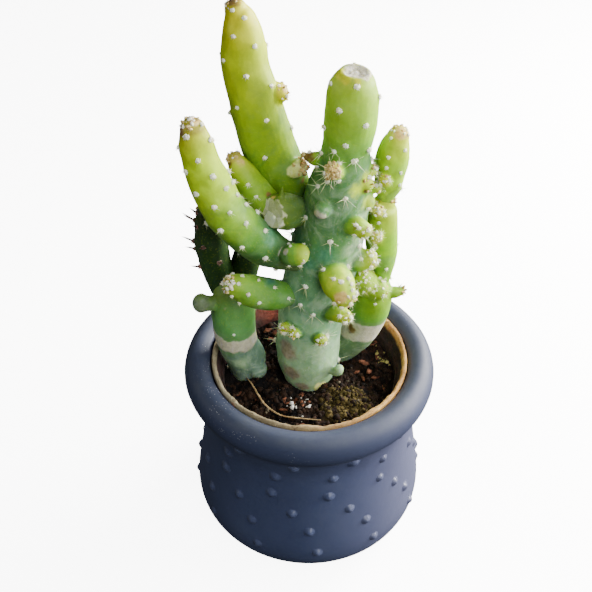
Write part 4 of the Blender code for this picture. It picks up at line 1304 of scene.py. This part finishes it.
def write_fields(mesh, stem):
    """Leaves on the mesh what its material reads: age, and the share of each kind of patch."""
    points = np.array([v.co[:] for v in mesh.vertices])
    groups = axis_samples(stem)
    main_away, age = outside_of(points, groups[0])
    for (kind, *_), group in zip(stem.get("buds", ()), groups[1:]):
        away, share = outside_of(points, group)
        weight = 1 / (1 + np.exp(np.clip((away - main_away) / SOFT_EDGE, -30, 30)))
        if kind not in BARE_BUDS:
            age = age * (1 - weight) + np.minimum(age, BUD_AGE[0] + BUD_AGE[1] * share) * weight
    write_field(mesh, "age", age)
    for kind in kinds_on(stem):
        write_field(mesh, kind, patch_shares(points, stem, kind))


def skin_material(name, stem):
    """Waxy flesh: an age gradient, on some stems darkened as painted shade, mottling, pale bloom on old
    growth with painted shade in its hollows, and patches, of which the teal ones are painted shade.
    """
    s = Shader(name)
    age = s.math("ADD", s.field("age"), s.times(s.math("SUBTRACT", s.noise(70, 3, 0.5), 0.5), 0.22))
    base = s.ramp(age, stem["skin"])
    mottle = s.noise(260, 5, 0.65, 0.6)
    base = s.coat(base, (52, 84, 20), mottle, 0.3, 0.75, 0.0, 0.22)
    base = s.coat(base, (196, 206, 40), s.noise(1500, 2, 0.5), 0.56, 0.72, 0.14)
    if stem["bloom"]:
        old = s.span(s.field("age"), 0.3, 0.54, 0.1, 1.0)
        # Painted shade: darker green, laid by noise, for the shade in the hollows between the tubercles of
        # old skin.
        hollow = s.span(s.noise(62, 4, 0.6, 1.0), 0.36, 0.56, 0.4, 0.0)
        base = s.blend(s.times(hollow, old), base, (50, 96, 60))
        haze = s.span(s.noise(95, 5, 0.7, 1.4), 0.42, 0.7, 0.0, stem["bloom"])
        base = s.blend(s.times(haze, old), base, (168, 190, 158))
        speck = s.span(s.noise(520, 5, 0.75), 0.58, 0.7, 0.0, stem["bloom"])
        base = s.blend(s.times(speck, old), base, (196, 204, 176))
    fine = s.noise(500, 5, 0.7)
    kinds = kinds_on(stem)
    for kind in kinds:
        tone = s.cells(230, "Color") if kind == "cut" else fine
        base = s.blend(s.field(kind), base, s.ramp(tone, PATCH_COLOURS[kind]))
    roughness = s.span(mottle, 0.3, 0.7, 0.44, 0.56)
    layers = [(s.noise(380, 4, 0.6), 0.22, 0.35), (s.noise(1900, 3, 0.6), 0.04, 0.5)]
    for kind in kinds:
        if kind in ("cork", "cream", "cut"):
            roughness = s.math("ADD", roughness, s.times(s.field(kind), 0.35))
            layers.append((s.times(s.field(kind), s.noise(900, 5, 0.75)), 0.6, 0.8))
    s.set(Base_Color=base, Roughness=roughness, Specular_IOR_Level=0.2)
    s.set(Subsurface_Weight=0.35, Subsurface_Scale=0.0035)
    s.surface.inputs["Subsurface Radius"].default_value = (0.8, 1.0, 0.12)
    s.relief(*layers)
    return s.material


def add_needle(work, start, direction, length, radius, bend, sides=4):
    """A slim tapered spine of two segments, slightly bent."""
    middle = start + direction * length * 0.5 + bend * 0.25
    end = start + direction * length + bend
    along = (end - start).normalized()
    side = along.orthogonal().normalized()
    other = along.cross(side)
    foot = ring_round(work, start, side, other, radius, sides)
    waist = ring_round(work, middle, side, other, radius * NEEDLE_WAIST, sides)
    tip = work.verts.new(end)
    join_rings(work, [foot, waist])
    for step, corner in enumerate(waist):
        work.faces.new((corner, waist[(step + 1) % sides], tip))
    work.faces.new(list(reversed(foot)))


def add_wool(work, areole, size, rng):
    """A felted pad at an areole, wider than high, with a fringe of short hairs below it."""
    normal, below = areole["normal"], areole["below"]
    aside = normal.cross(below)
    for lump in range(WOOL_LUMPS):
        turn = math.tau * (lump + rng.uniform(-0.3, 0.3)) / (WOOL_LUMPS - 1)
        spread = rng.uniform(0.4, 0.58) if lump else 0
        away = aside * math.cos(turn) * 1.15 + below * math.sin(turn) * 0.85
        half = size * (rng.uniform(0.3, 0.42) if lump else 0.68)
        place = areole["at"] + (away * spread + normal * rng.uniform(0.08, 0.2)) * size
        add_lump(work, place, (half, half, half * 0.8), rng, 0.22, 2)
    for _ in range(WOOL_HAIRS):
        turn, lean = rng.uniform(0, math.tau), rng.uniform(0.3, 1.4)
        away = aside * math.cos(turn) + below * math.sin(turn)
        out = (normal * math.cos(lean) + away * math.sin(lean) + below * 0.3).normalized()
        foot, length = areole["at"] + out * size * 0.35, size * rng.uniform(0.7, 1.2)
        add_needle(work, foot, out, length, HAIR_RADIUS, below * 0.1 * size, 3)


def add_spine_tuft(work, areole, stem, rng):
    """The spines of one areole, fanned about its normal and mostly drooping."""
    count, short, long, (start, full) = stem["spines"]
    longest = (short + (long - short) * smooth_step(areole["share"], start, full)) * MM
    if areole["bud"]:
        count, longest = count + 2, BUD_SPINE_LENGTH
    dark = stem.get("dark")
    normal, below = areole["normal"], areole["below"]
    aside = normal.cross(below)
    for index in range(count + rng.randint(0, 1)):
        turn = math.tau * (index + rng.uniform(-0.3, 0.3)) / count
        spread = rng.uniform(0.1, 0.5) if dark else rng.uniform(0.5, 1.25)
        away = below * math.cos(turn) + aside * math.sin(turn)
        droop = below * (-0.7 if dark else 0 if areole["bud"] else 0.4)
        direction = (normal * math.cos(spread) + away * math.sin(spread) + droop).normalized()
        length = longest * rng.uniform(0.6, 1.15)
        radius = DARK_SPINE_RADIUS if dark else SPINE_RADIUS + SPINE_WIDENING * length
        bend = drawn(rng, -1, 0.5) * length * 0.06
        add_needle(work, areole["at"] + normal * 0.25 * MM, direction, length, radius, bend)


def add_leaf(work, place, way, length, rng):
    """A small pointed leaf, thickest near its foot and bent inwards at its end."""
    turn_in = drawn(rng, -0.5, 1) * length * 0.25
    rows = []
    for share, width in ((0, 0.2), (0.25, 0.3), (0.55, 0.24), (0.85, 0.1), (1, 0.02)):
        rows.append((place + way * length * share + turn_in * share * share, width * length))
    tube(work, rows, 7)


def add_crown(pieces, path, crown, widest, rng):
    """A tip crowded with wool, tan felt, small leaves and bristles, out to the widest lean in degrees."""
    white, tan, leaves, bristles, size, bristle_length = crown
    rows = curve_through(path, 12)
    end, radius = rows[-1]
    tilt = (end - rows[-2][0]).normalized().to_track_quat("Z", "Y").to_matrix()
    kinds = ["wool"] * white + ["crown"] * tan + ["leaf"] * leaves + ["bristle"] * bristles
    rng.shuffle(kinds)
    for index, kind in enumerate(kinds):
        lean = math.radians(widest) * math.sqrt((index + rng.uniform(0, 1)) / len(kinds))
        turn = math.radians(GOLDEN_TURN) * index + rng.uniform(-0.3, 0.3)
        local = Vector((math.sin(lean) * math.cos(turn), math.sin(lean) * math.sin(turn), math.cos(lean)))
        way = tilt @ local
        skin = end + way * radius
        if kind == "leaf":
            add_leaf(pieces["crown"], skin, way, rng.uniform(1.4, 2.2) * MM, rng)
        elif kind == "bristle":
            bend = Vector((rng.uniform(-1, 1), rng.uniform(-1, 1), -0.5)) * 0.1 * bristle_length * MM
            length = bristle_length * rng.uniform(0.5, 1.1) * MM
            add_needle(pieces["spines"], skin, way, length, BRISTLE_RADIUS, bend)
        else:
            half = size * rng.uniform(0.55, 1.15) * MM
            add_lump(pieces[kind], skin, (half, half * 0.85, half * 0.7), rng, 0.5, 2)


def wool_material(name, dark, light):
    s = Shader(name)
    s.set(Base_Color=s.ramp(s.noise(1300, 3, 0.6), ((0.3, *dark), (0.62, *light))), Roughness=0.95)
    s.set(Sheen_Weight=0.4, Subsurface_Weight=0.2, Subsurface_Scale=0.001)
    s.relief((s.noise(3200, 3, 0.7), 0.15, 0.9))
    return s.material


def crown_material():
    s = Shader("tan_felt")
    tones = ((0.3, 118, 98, 48), (0.46, 176, 152, 90), (0.6, 208, 188, 126), (0.76, 228, 214, 164))
    s.set(Base_Color=s.ramp(s.noise(620, 4, 0.65), tones), Roughness=0.9)
    s.set(Subsurface_Weight=0.2, Subsurface_Scale=0.001)
    s.relief((s.noise(2400, 4, 0.7), 0.2, 0.9))
    return s.material


def spine_material(name, dark, light):
    s = Shader(name)
    s.set(Base_Color=s.ramp(s.noise(240, 2, 0.5), ((0.3, *dark), (0.7, *light))), Roughness=0.42)
    s.set(Subsurface_Weight=0.1, Subsurface_Scale=0.001)
    return s.material


def make_stem(name, stem, mesh, looks):
    """Skin, wool, crown and spines of one stem."""
    rng = random.Random(sum(map(ord, name)))
    areoles = areoles_on(name, stem)
    raise_tubercles(mesh, areoles)
    sink_scar(mesh, stem)
    slice_end(mesh, stem)
    write_fields(mesh, stem)
    add_piece(name + "_skin", mesh, skin_material(name + "_skin", stem), [name])
    pieces = {"wool": bmesh.new(), "spines": bmesh.new(), "crown": bmesh.new()}
    for areole in areoles:
        size = stem["wool"] * (0.85 if areole["bud"] else 1.0) * MM * rng.uniform(0.85, 1.15)
        areole["at"] = areole["at"] + areole["normal"] * TUBERCLE_HEIGHT * (0.3 if areole["bud"] else 0.7)
        add_wool(pieces["wool"], areole, size, rng)
        add_spine_tuft(pieces["spines"], areole, stem, rng)
    if "crown" in stem:
        add_crown(pieces, stem["path"], stem["crown"], STEM_CROWN_LEAN, rng)
    for kind, *path in stem.get("buds", ()):
        if kind in BUD_CROWNS:
            add_crown(pieces, path, BUD_CROWNS[kind], BUD_CROWN_LEAN, rng)
    for part, work in pieces.items():
        look = looks["dark_" + part] if stem.get("dark") and part != "crown" else looks[part]
        if len(work.verts):
            add_piece(f"{name}_{part}", mesh_of(f"{name}_{part}", work), look)
        else:
            work.free()


def bearing(turn, height):
    """The way to a point at a turn from the front towards the right and a height, both in degrees."""
    turn, height = math.radians(turn), math.radians(height)
    flat = Vector((math.sin(turn), -math.cos(turn), 0))
    return flat * math.cos(height) + Vector((0, 0, math.sin(height)))


def add_camera():
    data = bpy.data.cameras.new("photo_camera")
    data.lens = CAMERA_LENS
    data.sensor_width = CAMERA_SENSOR
    camera = show("photo_camera", data)
    camera.location = CAMERA_PLACE
    camera.rotation_euler = (math.radians(CAMERA_TILT), 0, 0)
    bpy.context.scene.camera = camera


def add_lights():
    for name, (turn, height, power, colour) in LIGHTS.items():
        way = bearing(turn, height)
        data = bpy.data.lights.new(name, "AREA")
        data.size = LIGHT_SIZE
        data.energy = power
        data.color = colour
        light = show(name, data)
        light.location = Vector(LIGHT_TARGET) + way * LIGHT_AWAY
        light.rotation_euler = (-way).to_track_quat("-Z", "Y").to_euler()
    world = bpy.data.worlds.new("soft_sky")
    bpy.context.scene.world = world
    world.use_nodes = True
    sky = world.node_tree.nodes["Background"]
    sky.inputs["Color"].default_value = SKY_COLOUR
    sky.inputs["Strength"].default_value = SKY_STRENGTH


def add_floor():
    """A pale floor that throws no light back onto the object, as in a cut-out photograph."""
    work = bmesh.new()
    bmesh.ops.create_grid(work, x_segments=1, y_segments=1, size=FLOOR_SIZE / 2)
    floor = show("floor", mesh_of("floor", work))
    floor.visible_diffuse = False
    floor.visible_glossy = False
    s = Shader("pale_floor")
    s.set(Base_Color=linear((248, 248, 248)), Roughness=0.9)
    s.set(Emission_Color=(1, 1, 1, 1), Emission_Strength=FLOOR_GLOW)
    floor.data.materials.append(s.material)


BALLS = {detail: ball(detail) for detail in (1, 2)}
AXES = {name: axis_samples(stem) for name, stem in STEMS.items()}
add_camera()
add_lights()
add_floor()
make_cover_pot()
make_clay_pot()
make_soil()
make_bark()
make_straw()
make_ground_cover()
LOOKS = {
    "wool": wool_material("white_wool", (214, 208, 172), (246, 242, 218)),
    "dark_wool": wool_material("brown_wool", (84, 52, 40), (150, 112, 92)),
    "crown": crown_material(),
    "spines": spine_material("pale_spine", (222, 226, 156), (244, 246, 206)),
    "dark_spines": spine_material("dark_spine", (34, 22, 18), (92, 58, 44)),
}
SKINS = {name: fused_skin(name, stem) for name, stem in STEMS.items()}
TREES = {
    name: BVHTree.FromPolygons([v.co for v in mesh.vertices], [p.vertices for p in mesh.polygons])
    for name, mesh in SKINS.items()
}
for stem_name, stem_facts in STEMS.items():
    make_stem(stem_name, stem_facts, SKINS[stem_name], LOOKS)
